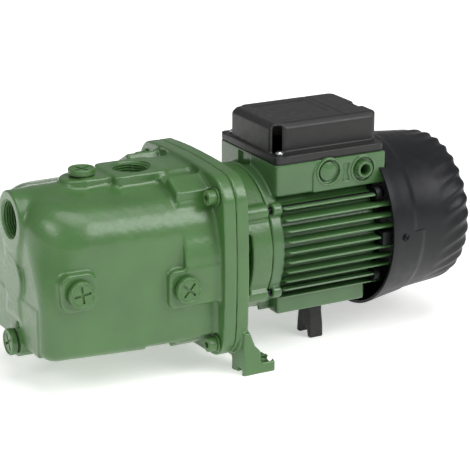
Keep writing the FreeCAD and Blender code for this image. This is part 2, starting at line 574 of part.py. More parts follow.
def motor_bracket():
    """Cast bracket: flange, lantern, bearing boss, tie rod lugs and two feet."""
    flange = flange_outline("seam_x", "bracket_flange_t")
    lantern = rod("x", ("seam_x + bracket_flange_t", "0", "shaft_z"),
                  "lantern_end_x - seam_x - bracket_flange_t", "lantern_r")
    solids = [flange, lantern]
    for y, z in rod_places():
        solids.append(rod("x", ("seam_x + bracket_flange_t", y, z),
                          "lantern_end_x - seam_x - bracket_flange_t", "rod_lug_r"))
    profile = [("foot_front_x", "0"), ("foot_lug_x", "0"), ("foot_lug_x", "foot_lug_t"),
               ("foot_gusset_x", "foot_lug_t"), ("foot_gusset_x", "foot_gusset_z"),
               ("foot_gusset_x - 6", "foot_gusset_z + 5"), ("seam_x + bracket_flange_t", "foot_root_z"),
               ("foot_front_x", "foot_root_z")]
    for side in (-1, 1):
        solids.append(plate(profile, "XZ_Plane", "foot_out + foot_in",
                            ("0", f"{side} * (foot_y + (foot_out - foot_in) / 2)", "0")))
    outside = joined(solids)
    cuts = [rod("x", ("seam_x + bracket_flange_t + lantern_wall - 2", "0", "shaft_z"),
                "lantern_end_x - seam_x - bracket_flange_t - lantern_wall + 3", "lantern_r - lantern_wall")]
    inner = joined([less(outside, cuts),
                    rod("x", ("seam_x + bracket_flange_t", "0", "shaft_z"),
                        "lantern_end_x - seam_x - bracket_flange_t", "bearing_boss_r")])
    more = [rod("x", ("seam_x", "0", "shaft_z"), "seat_x + seat_t - seam_x", "seal_bore_r"),
            rod("x", ("seam_x", "0", "shaft_z"), "60", "shaft_r + 1.5"),
            rod("x", ("front_bearing_x", "0", "shaft_z"), "lantern_end_x - front_bearing_x + 1",
                "bearing_out_r")]
    for y, z in bolt_places():
        more.append(rod("x", ("seam_x", y, z), "bracket_flange_t", "bolt_r"))
    for y, z in rod_places():
        more.append(rod("x", ("lantern_end_x - 14", y, z), "15", "rod_r"))
    for side in (-1, 1):
        more.append(rod("z", ("0", f"{side} * foot_y", "0"), "foot_lug_t", "foot_hole_r"))
        more.append(block(("seam_x + bracket_flange_t + 4", f"{side} * (lantern_r - 4) - 9",
                           "shaft_z - 12"),
                          ("6", "18", "32")))
    return node("motor_bracket", less(inner, more))


def flange_fasteners():
    bolts = [screw("seam_x - body_flange_t - washer_t - bolt_head_t", "bolt_head_t", "bolt_head_r",
                   "bolt_r",
                   "washer_t + body_flange_t + bracket_flange_t - 1", "bolt_key_r", spot, "4")
             for spot in bolt_places()]
    node("flange_bolts", group(bolts))
    washers = []
    for y, z in bolt_places():
        disc = rod("x", ("seam_x - body_flange_t - washer_t", y, z), "washer_t", "washer_r")
        hole = rod("x", ("seam_x - body_flange_t - washer_t", y, z), "washer_t", "bolt_r + 0.2")
        washers.append(less(disc, [hole]))
    node("flange_washers", group(washers))


def motor_casing():
    """Finned casing with its rails and the lower half of the terminal box."""
    tube = rod("x", ("lantern_end_x", "0", "shaft_z"), "casing_end_x - lantern_end_x", "casing_r")
    collar = rod("x", ("lantern_end_x", "0", "shaft_z"), "casing_ring_x - lantern_end_x", "lantern_r")
    solids = [tube, collar]
    for i in range(int(size("fins_side"))):
        low = f"fin_low_z + {i} * fin_pitch - fin_t"
        reach = f"sqrt(fin_tip_r ^ 2 - (fin_low_z + {i} * fin_pitch - shaft_z) ^ 2)"
        solids.append(block(("casing_ring_x - 6", f"-{reach}", low),
                            ("fin_end_x - casing_ring_x + 6", f"2 * {reach}", "fin_t")))
    for i in range(int(size("fins_under"))):
        y = f"({i} - (fins_under - 1) / 2) * fin_under_pitch - fin_t / 2"
        solids.append(block(("casing_ring_x - 10", y, "rail_z"),
                            ("fin_end_x - casing_ring_x + 10", "fin_t", "shaft_z - casing_r - rail_z + 8")))
    for side in (-1, 1):
        solids.append(block(("casing_ring_x",
                             f"{side} * (rail_in + rail_out) / 2 - (rail_out - rail_in) / 2",
                             "rail_z"),
                            ("fin_end_x - casing_ring_x", "rail_out - rail_in", "rail_top_z - rail_z")))
    for y, z in rod_places():
        solids.append(rod("x", ("lantern_end_x", y, z), "10", "rod_lug_r"))
    solids.append(block(("box_x", "-box_half_w", "box_low_z"),
                        ("casing_end_x - box_x", "2 * box_half_w", "box_top_z - box_low_z")))
    solids.append(block(("box_x", "-box_half_w", "shaft_z + casing_r + 1"),
                        ("box_len", "2 * box_half_w", "box_top_z - shaft_z - casing_r - 1")))
    for x, y in lid_screw_places():
        solids.append(rod("z", (x, y, "box_top_z - lid_boss_len"), "lid_boss_len", "lid_screw_r + 2"))
    solids.append(rod("y", ("entry_x", "-box_half_w - entry_out", "entry_z"), "entry_out + box_wall",
                      "entry_boss_r"))
    outside = joined(solids)
    bore = rod("x", ("lantern_end_x - 1", "0", "shaft_z"), "casing_end_x - lantern_end_x + 2",
               "casing_bore_r")
    tray = block(("box_x + box_wall", "-box_half_w + box_wall", "shaft_z + casing_r + 4"),
                 ("box_len - 2 * box_wall", "2 * (box_half_w - box_wall)",
                  "box_top_z - shaft_z - casing_r"))
    corners = [rod("z", (x, y, "box_low_z + 6"), "box_top_z - box_low_z", "lid_screw_r + 2.5")
               for x, y in lid_screw_places()]
    cuts = [bore, less(tray, corners)]
    for side in (-1, 1):
        cuts.append(block(("box_x + 14", f"{side} * (box_half_w - box_wall - 5) - 5", "box_low_z + 6"),
                          ("casing_end_x - box_x - 18", "10", "20")))
    for x, y in lid_screw_places():
        cuts.append(rod("z", (x, y, "box_top_z - lid_boss_len / 2"), "lid_boss_len", "lid_screw_r"))
    cuts.append(rod("y", ("entry_x", "-box_half_w - entry_out - 1", "entry_z"), "entry_out + box_wall + 1",
                    "entry_r"))
    cuts.append(rod("z", ("box_x + earth_x", "0", "shaft_z + casing_r + 1"), "4", "small_screw_r"))
    cuts.append(rod("z", ("leg_x + leg_len / 2", "leg_y", "rail_z - 1"), "leg_screw_in + 1", "small_screw_r"))
    dish = rod("y", ("entry_x", "-box_half_w", "entry_z"), "dish_t", "entry_dish_r")
    cuts.append(less(dish, [rod("y", ("entry_x", "-box_half_w - 2", "entry_z"), "2 + dish_t",
                                "entry_boss_r")]))
    cuts.append(rod("y", ("blank_x", "-box_half_w", "entry_z"), "dish_t", "entry_dish_r - 1"))
    for y, z in rod_places():
        cuts.append(rod("x", ("lantern_end_x - 1", y, z), "casing_end_x", "rod_r + 0.5"))
    node("motor_casing", less(outside, cuts))
    cap = lathe([("0", "0"), ("dish_t + 0.5", "0"), ("dish_t", "entry_dish_r - 4"),
                 ("1", "entry_dish_r - 2.2"),
                 ("0", "entry_dish_r - 2.2")], ("blank_x", "-box_half_w + dish_t", "entry_z"), "-y")
    node("blanking_disc", cap)


def stator_and_rotor():
    lamination = lathe(ring("stator_x", "stator_x + stator_len", "stator_bore_r", "casing_bore_r"))
    count = int(size("slots"))
    slots = around(count, lambda angle: block(
        ("stator_x - 1", "-2.6", "coil_in_r"), ("stator_len + 2", "5.2",
                                                "coil_out_r - coil_in_r - 6"), angle))
    node("stator_core", less(lamination, slots))
    bars = around(count, lambda angle: block(
        ("stator_x - 2", "-2.4", "coil_in_r + 0.4"), ("stator_len + 4", "4.8",
                                                      "coil_out_r - coil_in_r - 7"),
        angle))
    heads = []
    for x_0 in ("stator_x - coil_len", "stator_x + stator_len + 0.5"):
        heads.append(lathe([(f"{x_0} + 3", "coil_in_r"), (f"{x_0} + coil_len - 0.5", "coil_in_r"),
                            (f"{x_0} + coil_len - 0.5", "coil_out_r"), (f"{x_0} + 3", "coil_out_r"),
                            (x_0, "coil_out_r - 4"), (x_0, "coil_in_r + 4")]))
    node("stator_windings", joined(heads + bars))
    node("rotor_core", lathe(ring("stator_x", "stator_x + stator_len", "bearing_in_r + 3",
                                  "stator_bore_r - rotor_gap")))
    rings = [lathe(ring(x_0, f"{x_0} + cage_ring_t", "cage_ring_in_r", "stator_bore_r - 2"))
             for x_0 in ("stator_x - cage_ring_t", "stator_x + stator_len")]
    node("rotor_end_rings", group(rings))


def terminal_box():
    """Lid, its gasket and screws, the terminal block and the capacitor."""
    top = "box_top_z + gasket_t"
    frame_out = block(("box_x", "-box_half_w", "box_top_z"), ("box_len", "2 * box_half_w", "gasket_t"))
    frame_in = block(("box_x + box_wall", "-box_half_w + box_wall", "box_top_z"),
                     ("box_len - 2 * box_wall", "2 * (box_half_w - box_wall)", "gasket_t"))
    holes = [rod("z", (x, y, "box_top_z - 1"), "gasket_t + 2", "lid_screw_r + 0.3")
             for x, y in lid_screw_places()]
    node("lid_gasket", less(frame_out, [frame_in] + holes))

    band = block(("box_x", "-box_half_w", top), ("box_len", "2 * box_half_w", "lid_band_t"))
    crown = block(("box_x + lid_inset", "-lid_half_w", top),
                  ("box_len - lid_inset", "2 * lid_half_w", f"lid_top_z - ({top})"))
    DOC.recompute()
    high = size("lid_top_z")
    soft = rounded(crown, size("lid_bevel"), lambda e: e.BoundBox.ZMin > high - 1e-6)
    room = block(("box_x + lid_inset + lid_wall", "-lid_half_w + lid_wall", f"{top} - 1"),
                 ("box_len - lid_inset - 2 * lid_wall", "2 * (lid_half_w - lid_wall)",
                  f"lid_top_z - lid_wall - ({top}) + 1"))
    cuts = [room]
    for x, y in lid_screw_places():
        cuts.append(rod("z", (x, y, f"{top} - 1"), "lid_band_t + 2", "lid_screw_r + 0.3"))
        cuts.append(rod("z", (x, y, f"{top} + lid_band_t"), "lid_top_z - box_top_z",
                        "lid_screw_head_r + 1"))
    node("terminal_box_lid", less(joined([band, soft]), cuts))

    screws = []
    for x, y in lid_screw_places():
        head = rod("z", (x, y, f"{top} + lid_band_t"), "lid_screw_head_t", "lid_screw_head_r")
        shank = rod("z", (x, y, f"{top} + lid_band_t - lid_screw_len"), "lid_screw_len", "lid_screw_r")
        slot = block((f"{x} - lid_screw_head_r", f"{y} - 0.5",
                      f"{top} + lid_band_t + lid_screw_head_t - 1"),
                     ("2 * lid_screw_head_r", "1", "2"))
        screws.append(less(joined([head, shank]), [slot]))
    node("lid_screws", group(screws))

    floor = "shaft_z + casing_r + 4"
    base = block(("terminal_x", "-terminal_w / 2", floor), ("terminal_len", "terminal_w", "terminal_t"))
    posts = [rod("z", (f"terminal_x + terminal_len * {(i + 0.5) / 3:.4f}", f"{side} * terminal_w / 4",
                       f"{floor} + terminal_t / 2"), "terminal_t + 1", "post_r")
             for i in range(3) for side in (-1, 1)]
    node("terminal_block", less(base, posts))
    node("terminal_posts", group(posts))
    earth = ("box_x + earth_x", "0")
    node("earth_screw", joined([rod("z", earth + (floor,), "small_head_t", "small_head_r"),
                                rod("z", earth + (f"{floor} - 3",), "4", "small_screw_r")]))
    node("capacitor", lathe([("0", "0"), ("capacitor_len", "0"), ("capacitor_len", "capacitor_r - 1"),
                             ("capacitor_len - 1", "capacitor_r"), ("1", "capacitor_r"), ("0",
                                                                                          "capacitor_r - 1")],
                            ("box_x + 20", "22", "lid_top_z - lid_wall - capacitor_r - 1")))


def rear_end():
    """Rear shield, wave washer, tie rods, fan, clip, fan cover and its screws."""
    shield = lathe([
        ("rear_bearing_x", "bearing_out_r"), ("rear_bearing_x + bearing_t + 1", "bearing_out_r"),
        ("rear_bearing_x + bearing_t + 1", "shaft_r + 2"), ("rear_bearing_x + bearing_t + 4",
                                                            "shaft_r + 2"),
        ("rear_bearing_x + bearing_t + 4", "shield_boss_r"), ("shield_x + shield_t", "shield_boss_r + 4"),
        ("shield_x + shield_t", "shield_r"), ("shield_x", "shield_r"), ("shield_x",
                                                                        "casing_bore_r - fit_gap"),
        ("shield_x - 4", "casing_bore_r - fit_gap"), ("shield_x - 4", "casing_bore_r - 5"),
        ("shield_x", "casing_bore_r - 7"), ("shield_x", "shield_boss_r"), ("rear_bearing_x",
                                                                           "shield_boss_r")])
    ears = [rod("x", ("shield_x", y, z), "shield_t", "rod_lug_r") for y, z in rod_places()]
    cuts = [rod("x", ("shield_x - 1", y, z), "shield_t + 2", "rod_r + 0.5") for y, z in rod_places()]
    lugs = [block(("shield_x", "-cover_lug_w / 2", "shield_r - 6"),
                  ("cover_screw_x + cover_lug_w / 2 - shield_x", "cover_lug_w",
                   "cover_lug_r - shield_r + 6"),
                  turn) for turn in COVER_SCREW_TURNS]
    cuts += [rod("z", ("cover_screw_x", "0", "cover_lug_r - 9"), "10", "cover_screw_r", turn)
             for turn in COVER_SCREW_TURNS]
    trims = [block(("shield_x - 1", "-box_half_w - 1", "shaft_z + casing_r"),
                   ("box_x + box_len + 1.3 - shield_x + 1", "2 * box_half_w + 2",
                    "box_top_z - shaft_z - casing_r"))]
    node("rear_shield", less(joined([shield] + ears + lugs), cuts + trims))
    washer = lathe(ring("rear_bearing_x + bearing_t", "rear_bearing_x + bearing_t + 1",
                        "bearing_out_r - 3.5",
                        "bearing_out_r - 0.2"))
    node("wave_washer", washer)
    rods = []
    for y, z in rod_places():
        head = rod("x", ("shield_x + shield_t", y, z), "rod_head_t", "rod_head_r")
        shank = rod("x", ("lantern_end_x - 12", y, z), "shield_x + shield_t - lantern_end_x + 12", "rod_r")
        rods.append(joined([head, shank]))
    node("tie_rods", group(rods))

    hub_r = "bearing_in_r - 1.5"
    disc = lathe([("fan_x", hub_r), ("fan_x + fan_len", hub_r), ("fan_x + fan_len", "fan_hub_r - 3"),
                  ("fan_x + fan_disc_t", "fan_hub_r"), ("fan_x + fan_disc_t", "fan_r - 8"), ("fan_x",
                                                                                             "fan_r - 8")])
    blades = around(int(size("fan_blades")), lambda angle: block(
        ("fan_x", "-1.2", "fan_hub_r - 3"), ("fan_len", "2.4", "fan_r - fan_hub_r + 3"), angle))
    node("fan", joined([disc] + blades))
    node("fan_clip", lathe(ring("fan_x + fan_len", "fan_x + fan_len + 1.2", hub_r, "clip_r")))

    outer = [("cover_x", "cover_rim_r"), ("cover_mid_x", "cover_mid_r"), ("cover_back_x", "cover_back_r"),
             ("cover_turn_x - 5", "cover_back_r - 4"), ("cover_turn_x", "cover_turn_r"),
             ("cover_end_x", "cover_end_r"), ("cover_tip_x", "cover_end_r - 14"), ("cover_tip_x", "0")]
    inner = [("cover_tip_x - cover_wall", "0"), ("cover_tip_x - cover_wall", "cover_end_r - 15"),
             ("cover_end_x - cover_wall", "cover_end_r - cover_wall / 2"),
             ("cover_turn_x - cover_wall", "cover_turn_r - cover_wall / 2"),
             ("cover_turn_x - 5 - cover_wall / 2", "cover_back_r - 4 - cover_wall"),
             ("cover_back_x", "cover_back_r - cover_wall"), ("cover_mid_x", "cover_mid_r - cover_wall"),
             ("cover_x", "cover_rim_r - cover_wall")]
    shell = lathe(outer + inner)
    slots = around(int(size("cover_slots")), lambda angle: block(
        ("cover_back_x - 6", "-cover_slot_w / 2", "cover_slot_in"),
        ("60", "cover_slot_w", "cover_slot_out - cover_slot_in"), angle))
    notch = block(("cover_x - 1", "-box_half_w - cover_notch_gap", "box_low_z - cover_notch_gap"),
                  ("box_x + box_len - cover_x + 1 + cover_notch_gap", "2 * (box_half_w + cover_notch_gap)",
                   "60"))
    screws = []
    holes = []
    for turn in COVER_SCREW_TURNS:
        holes.append(rod("z", ("cover_screw_x", "0", "cover_lug_r"), "20", "cover_screw_r + 0.2", turn))
        head = rod("z", ("cover_screw_x", "0", "cover_screw_seat_r"), "cover_screw_head_t",
                   "cover_screw_head_r",
                   turn)
        shank = rod("z", ("cover_screw_x", "0", "cover_lug_r - 7"),
                    "cover_screw_seat_r - cover_lug_r + 7.5",
                    "cover_screw_r", turn)
        screws.append(joined([head, shank]))
    node("fan_cover", less(shell, slots + [notch] + holes))
    node("fan_cover_screws", group(screws))


def support_leg():
    """Rubber leg under the motor, with an arch between its two feet."""
    profile = [("-leg_half_w", "leg_foot_z"), ("-leg_gap", "leg_foot_z"), ("-leg_gap + 3", "leg_arch_z"),
               ("leg_gap - 3", "leg_arch_z"), ("leg_gap", "leg_foot_z"), ("leg_half_w", "leg_foot_z"),
               ("leg_half_w - 3", "leg_waist_z"), ("leg_top_half_w", "rail_z"),
               ("-leg_top_half_w", "rail_z"), ("-leg_half_w + 3", "leg_waist_z")]
    leg = plate(profile, "YZ_Plane", "leg_len", ("leg_x + leg_len / 2", "leg_y", "0"))
    middle = ("leg_x + leg_len / 2", "leg_y")
    node("support_leg", less(leg, [rod("z", middle + ("leg_arch_z - 1",), "rail_z - leg_arch_z + 2",
                                       "small_screw_r")]))
    head = rod("z", middle + ("leg_arch_z - small_head_t",), "small_head_t", "small_head_r")
    shank = rod("z", middle + ("leg_arch_z - 1",), "rail_z - leg_arch_z + leg_screw_in", "small_screw_r")
    node("leg_screw", joined([head, shank]))


def check_and_write():
    """Stop on any failed object, then write one STEP file for each node."""
    DOC.recompute()
    failed = [obj.Label for obj in DOC.Objects if {"Invalid", "Error"} & set(obj.State)]
    if failed:
        raise RuntimeError(f"objects that failed to build: {failed}")
    for obj in NODES:
        if obj.Shape.isNull() or not obj.Shape.isValid() or obj.Shape.Volume <= 0:
            raise RuntimeError(f"{obj.Label} has no valid shape")
    os.makedirs("parts", exist_ok=True)
    for obj in NODES:
        obj.Shape.exportStep(os.path.join("parts", obj.Label + ".step"))
        print(f"{obj.Label}: {len(obj.Shape.Solids)} solid(s), {obj.Shape.Volume / 1000:.1f} cm3")


def main():
    pump_body()
    pump_plugs()
    ejector()
    diffuser_and_impeller()
    shaft_seal()
    shaft_line()
    bearing("front_bearing", "front_bearing_x")
    bearing("rear_bearing", "rear_bearing_x")
    motor_bracket()
    flange_fasteners()
    motor_casing()
    stator_and_rotor()
    terminal_box()
    rear_end()
    support_leg()
    check_and_write()


main()
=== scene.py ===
# Looks of a shallow well jet pump: cast pump body, motor bracket, finned motor, terminal box, fan cover.
#
# Every length is in millimetres until a mesh is made. The frame has +X along the shaft from the suction end
# to the fan end, +Z up, and -Y on the side with the two side plugs.

import json
import logging
import math
from dataclasses import dataclass
from enum import Enum
from functools import partial
from typing import Any, Callable, Sequence

import bmesh
import bpy
import numpy as np
import openvdb
from mathutils import Matrix, Vector

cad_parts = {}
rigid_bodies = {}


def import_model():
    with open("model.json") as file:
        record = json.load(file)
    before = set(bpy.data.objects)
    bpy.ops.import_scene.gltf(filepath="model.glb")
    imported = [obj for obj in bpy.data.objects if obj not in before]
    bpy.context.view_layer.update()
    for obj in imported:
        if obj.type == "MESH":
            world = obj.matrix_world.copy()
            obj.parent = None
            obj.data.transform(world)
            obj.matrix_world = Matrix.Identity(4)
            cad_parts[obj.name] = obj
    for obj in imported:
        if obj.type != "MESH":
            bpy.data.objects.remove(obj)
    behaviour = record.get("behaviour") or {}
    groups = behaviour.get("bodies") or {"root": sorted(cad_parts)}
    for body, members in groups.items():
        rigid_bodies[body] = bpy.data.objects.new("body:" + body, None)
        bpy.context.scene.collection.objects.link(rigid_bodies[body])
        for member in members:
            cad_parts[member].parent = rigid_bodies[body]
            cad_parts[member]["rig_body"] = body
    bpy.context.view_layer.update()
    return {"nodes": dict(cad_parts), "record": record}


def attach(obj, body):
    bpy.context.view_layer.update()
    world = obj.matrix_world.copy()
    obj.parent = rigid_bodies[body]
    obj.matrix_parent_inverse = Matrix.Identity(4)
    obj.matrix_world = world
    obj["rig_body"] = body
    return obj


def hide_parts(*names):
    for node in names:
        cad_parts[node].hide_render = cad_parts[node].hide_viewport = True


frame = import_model()

LOG = logging.getLogger("jet_pump")
Point = tuple[float, float, float]
Outline = Sequence[tuple[float, float]]


class Way(Enum):
    """Directions that a turned piece can point along."""

    RIGHT = (1, 0, 0)
    LEFT = (-1, 0, 0)
    NEAR = (0, -1, 0)
    UP = (0, 0, 1)


class Cut(Enum):
    """What a tool does to the piece it is used on."""

    AWAY = "DIFFERENCE"
    ONTO = "UNION"


MM = 0.001
TINY = 1e-6
FAR = 40.0
SHAFT_Z = 100.0
# The body's flange meets the bracket's flange at JOINT_X. The other two are their outer faces.
BODY_FACE_X, JOINT_X, BRACKET_FACE_X = -43.0, -31.0, -19.0
# Places (y, z) of the flange screws and of the tie rods.
BOLTS = tuple((y, z) for y in (-69.0, 69.0) for z in (163.0, 29.0))
RODS = tuple((y, z) for y in (-56.0, 56.0) for z in (138.0, 62.0))
# Each plug: name, middle of its seat, the way it points, turn of its cross in degrees, and depth of its hole.
PLUGS = (("fill_plug", (-137, 0, 177), Way.UP, 20, 21), ("drain_plug", (-203.5, 0, 37), Way.LEFT, 30, 19.5),
         ("front_side_plug", (-173, -73.5, 99), Way.NEAR, 8, 25.5),
         ("rear_side_plug", (-76, -77.5, 88), Way.NEAR, 48, 25.5))
# Terminal box: its half width, the face of its raised panel, and the places (x, z) of its cable entries.
BOX_HALF_W, PANEL_Y = 52.8, -54.6
BLIND_ENTRY, CABLE_ENTRY = (78.0, 164.8), (113.5, 162.7)


# ---- meshes

def make_object(name: str, points: Any, faces: Any) -> bpy.types.Object:
    """Make a mesh object from corners in millimetres.

    Args:
        name: name of the piece.
        points: corner places in millimetres.
        faces: corner numbers of each face.

    Returns:
        The new object, with its faces pointing outwards.
    """
    mesh = bpy.data.meshes.new(name)
    mesh.from_pydata((np.asarray(points, float) * MM).tolist(), [], faces)
    work = bmesh.new()
    work.from_mesh(mesh)
    if work.calc_volume(signed=True) < 0:
        bmesh.ops.reverse_faces(work, faces=work.faces)
    work.to_mesh(mesh)
    work.free()
    piece = bpy.data.objects.new(name, mesh)
    bpy.context.scene.collection.objects.link(piece)
    return piece


def settle_modifiers(piece: bpy.types.Object) -> None:
    """Replace a piece's mesh with what its modifiers make of it."""
    bpy.context.view_layer.update()
    graph = bpy.context.evaluated_depsgraph_get()
    mesh = bpy.data.meshes.new_from_object(piece.evaluated_get(graph))
    piece.modifiers.clear()
    old = piece.data
    piece.data = mesh
    bpy.data.meshes.remove(old)


def work_on(piece: bpy.types.Object, tool: bpy.types.Object, cut: Cut) -> None:
    """Cut a tool out of a piece, or join it on, and remove the tool.

    Args:
        piece: closed mesh that is changed.
        tool: closed mesh that is used up.
        cut: whether the tool is taken away or joined on.
    """
    modifier = piece.modifiers.new("tool", "BOOLEAN")
    modifier.object = tool
    modifier.operation = cut.value
    modifier.solver = "MANIFOLD"
    settle_modifiers(piece)
    bpy.data.objects.remove(tool)


def shade(piece: bpy.types.Object, angle: float = 35.0) -> None:
    """Shade a piece smooth, but keep edges sharper than the angle in degrees."""
    piece.data.shade_smooth()
    piece.data.set_sharp_from_angle(angle=math.radians(angle))


def rounded_outline(points: Outline, radius: float, steps: int = 4) -> list[tuple[float, float]]:
    """Round the corners of a closed outline.

    Args:
        points: corners in order.
        radius: corner radius, made smaller where a side is short. Corners on the axis stay as they are.
        steps: spans in each rounded corner.

    Returns:
        The outline with its arcs.
    """
    made: list[tuple[float, float]] = []
    count = len(points)
    for i, here in enumerate(points):
        corner = Vector(here)
        back = Vector(points[i - 1]) - corner
        ahead = Vector(points[(i + 1) % count]) - corner
        on_axis = abs(here[1]) < TINY or min(back.length, ahead.length) < TINY
        angle = math.pi if on_axis else back.angle(ahead)
        if angle > math.radians(172):
            made.append(here)
            continue
        reach = min(radius / math.tan(angle / 2), 0.45 * back.length, 0.45 * ahead.length)
        first = corner + back.normalized() * reach
        last = corner + ahead.normalized() * reach
        for step in range(steps + 1):
            t = step / steps
            spot = first * (1 - t) ** 2 + corner * 2 * t * (1 - t) + last * t ** 2
            made.append((spot.x, spot.y))
    return made


def placing(at: Point, way: Way) -> Callable[[float, float, float], Point]:
    """Give the function that stands a point (along, across, up) at a place, with "along" on the way."""
    turn = Vector((1, 0, 0)).rotation_difference(Vector(way.value)).to_matrix()
    return lambda along, across, up: tuple(turn @ Vector((along, across, up)) + Vector(at))


def turned(name: str, profile: Outline, at: Point, way: Way, spans: int = 96) -> bpy.types.Object:
    """Turn a closed profile of (along, radius) corners about a line.

    Args:
        name: name of the piece.
        profile: corners in order, in millimetres.
        at: where along = 0 lies.
        way: direction of the line.
        spans: flats round the circle.

    Returns:
        The turned piece.
    """
    stand = placing(at, way)
    points: list[Point] = []
    rings: list[list[int]] = []
    for along, radius in profile:
        start = len(points)
        if radius < TINY:
            points.append(stand(along, 0, 0))
            rings.append([start] * spans)
            continue
        for k in range(spans):
            angle = 2 * math.pi * k / spans
            points.append(stand(along, radius * math.cos(angle), radius * math.sin(angle)))
        rings.append(list(range(start, start + spans)))
    faces = []
    for i, ring in enumerate(rings):
        after = rings[(i + 1) % len(rings)]
        if ring[0] == ring[1] and after[0] == after[1]:
            continue
        for k in range(spans):
            n = (k + 1) % spans
            corners = [ring[k], ring[n], after[n], after[k]]
            faces.append(list(dict.fromkeys(corners)))
    return make_object(name, points, faces)


def prism(name: str, outline: Outline, at: Point, way: Way, length: float) -> bpy.types.Object:
    """Push an outline of (across, up) corners along a direction.

    Args:
        name: name of the piece.
        outline: corners in order, in millimetres.
        at: where the outline's own zero starts.
        way: direction of the push.
        length: how far it goes.

    Returns:
        The closed prism.
    """
    stand = placing(at, way)
    count = len(outline)
    points = [stand(along, across, up) for along in (0.0, length) for across, up in outline]
    faces = [list(range(count)), list(range(2 * count - 1, count - 1, -1))]
    faces += [[i, i + count, (i + 1) % count + count, (i + 1) % count] for i in range(count)]
    return make_object(name, points, faces)


def tap(name: str, radius: float, pitch: float, depth: float, length: float, at: Point, way: Way,
        mouth: float) -> bpy.types.Object:
    """Threaded tool for a pipe port, with a cone at its mouth.

    Args:
        name: name of the tool.
        radius: radius at the crests of the finished thread.
        pitch: thread spacing.
        depth: thread depth.
        length: depth of the hole.
        at: middle of the port's face.
        way: direction that the port faces.
        mouth: radius of the chamfer at the face.

    Returns:
        The closed tool.
    """
    spans = 72
    rows = int(length / pitch * 8)
    outside = 8
    stand = placing(at, way)
    points: list[Point] = []
    for row in range(-outside, rows + 1):
        along = length * row / rows
        for k in range(spans):
            phase = (along / pitch + k / spans) % 1.0
            ridge = min(1.0, 2.6 * (1 - abs(2 * phase - 1)))
            reach = max(radius + depth * ridge, mouth - max(along, 0.0))
            angle = 2 * math.pi * k / spans
            points.append(stand(-along, reach * math.cos(angle), reach * math.sin(angle)))
    count = rows + outside + 1
    faces = [list(range(spans)), list(range(count * spans - 1, (count - 1) * spans - 1, -1))]
    for row in range(count - 1):
        for k in range(spans):
            n = (k + 1) % spans
            faces.append([row * spans + k, (row + 1) * spans + k, (row + 1) * spans + n, row * spans + n])
    return make_object(name, points, faces)


def drill(piece: bpy.types.Object, at: Point, way: Way, radius: float, start: float, end: float,
          spans: int = 32) -> None:
    """Cut a plain round hole.

    Args:
        piece: closed mesh that is changed.
        at: where along = 0 lies.
        way: direction of the hole's line.
        radius: its radius.
        start: where it starts along the line.
        end: where it ends.
        spans: flats round it.
    """
    profile = [(start, 0), (start, radius), (end, radius), (end, 0)]
    work_on(piece, turned("drill", profile, at, way, spans), Cut.AWAY)


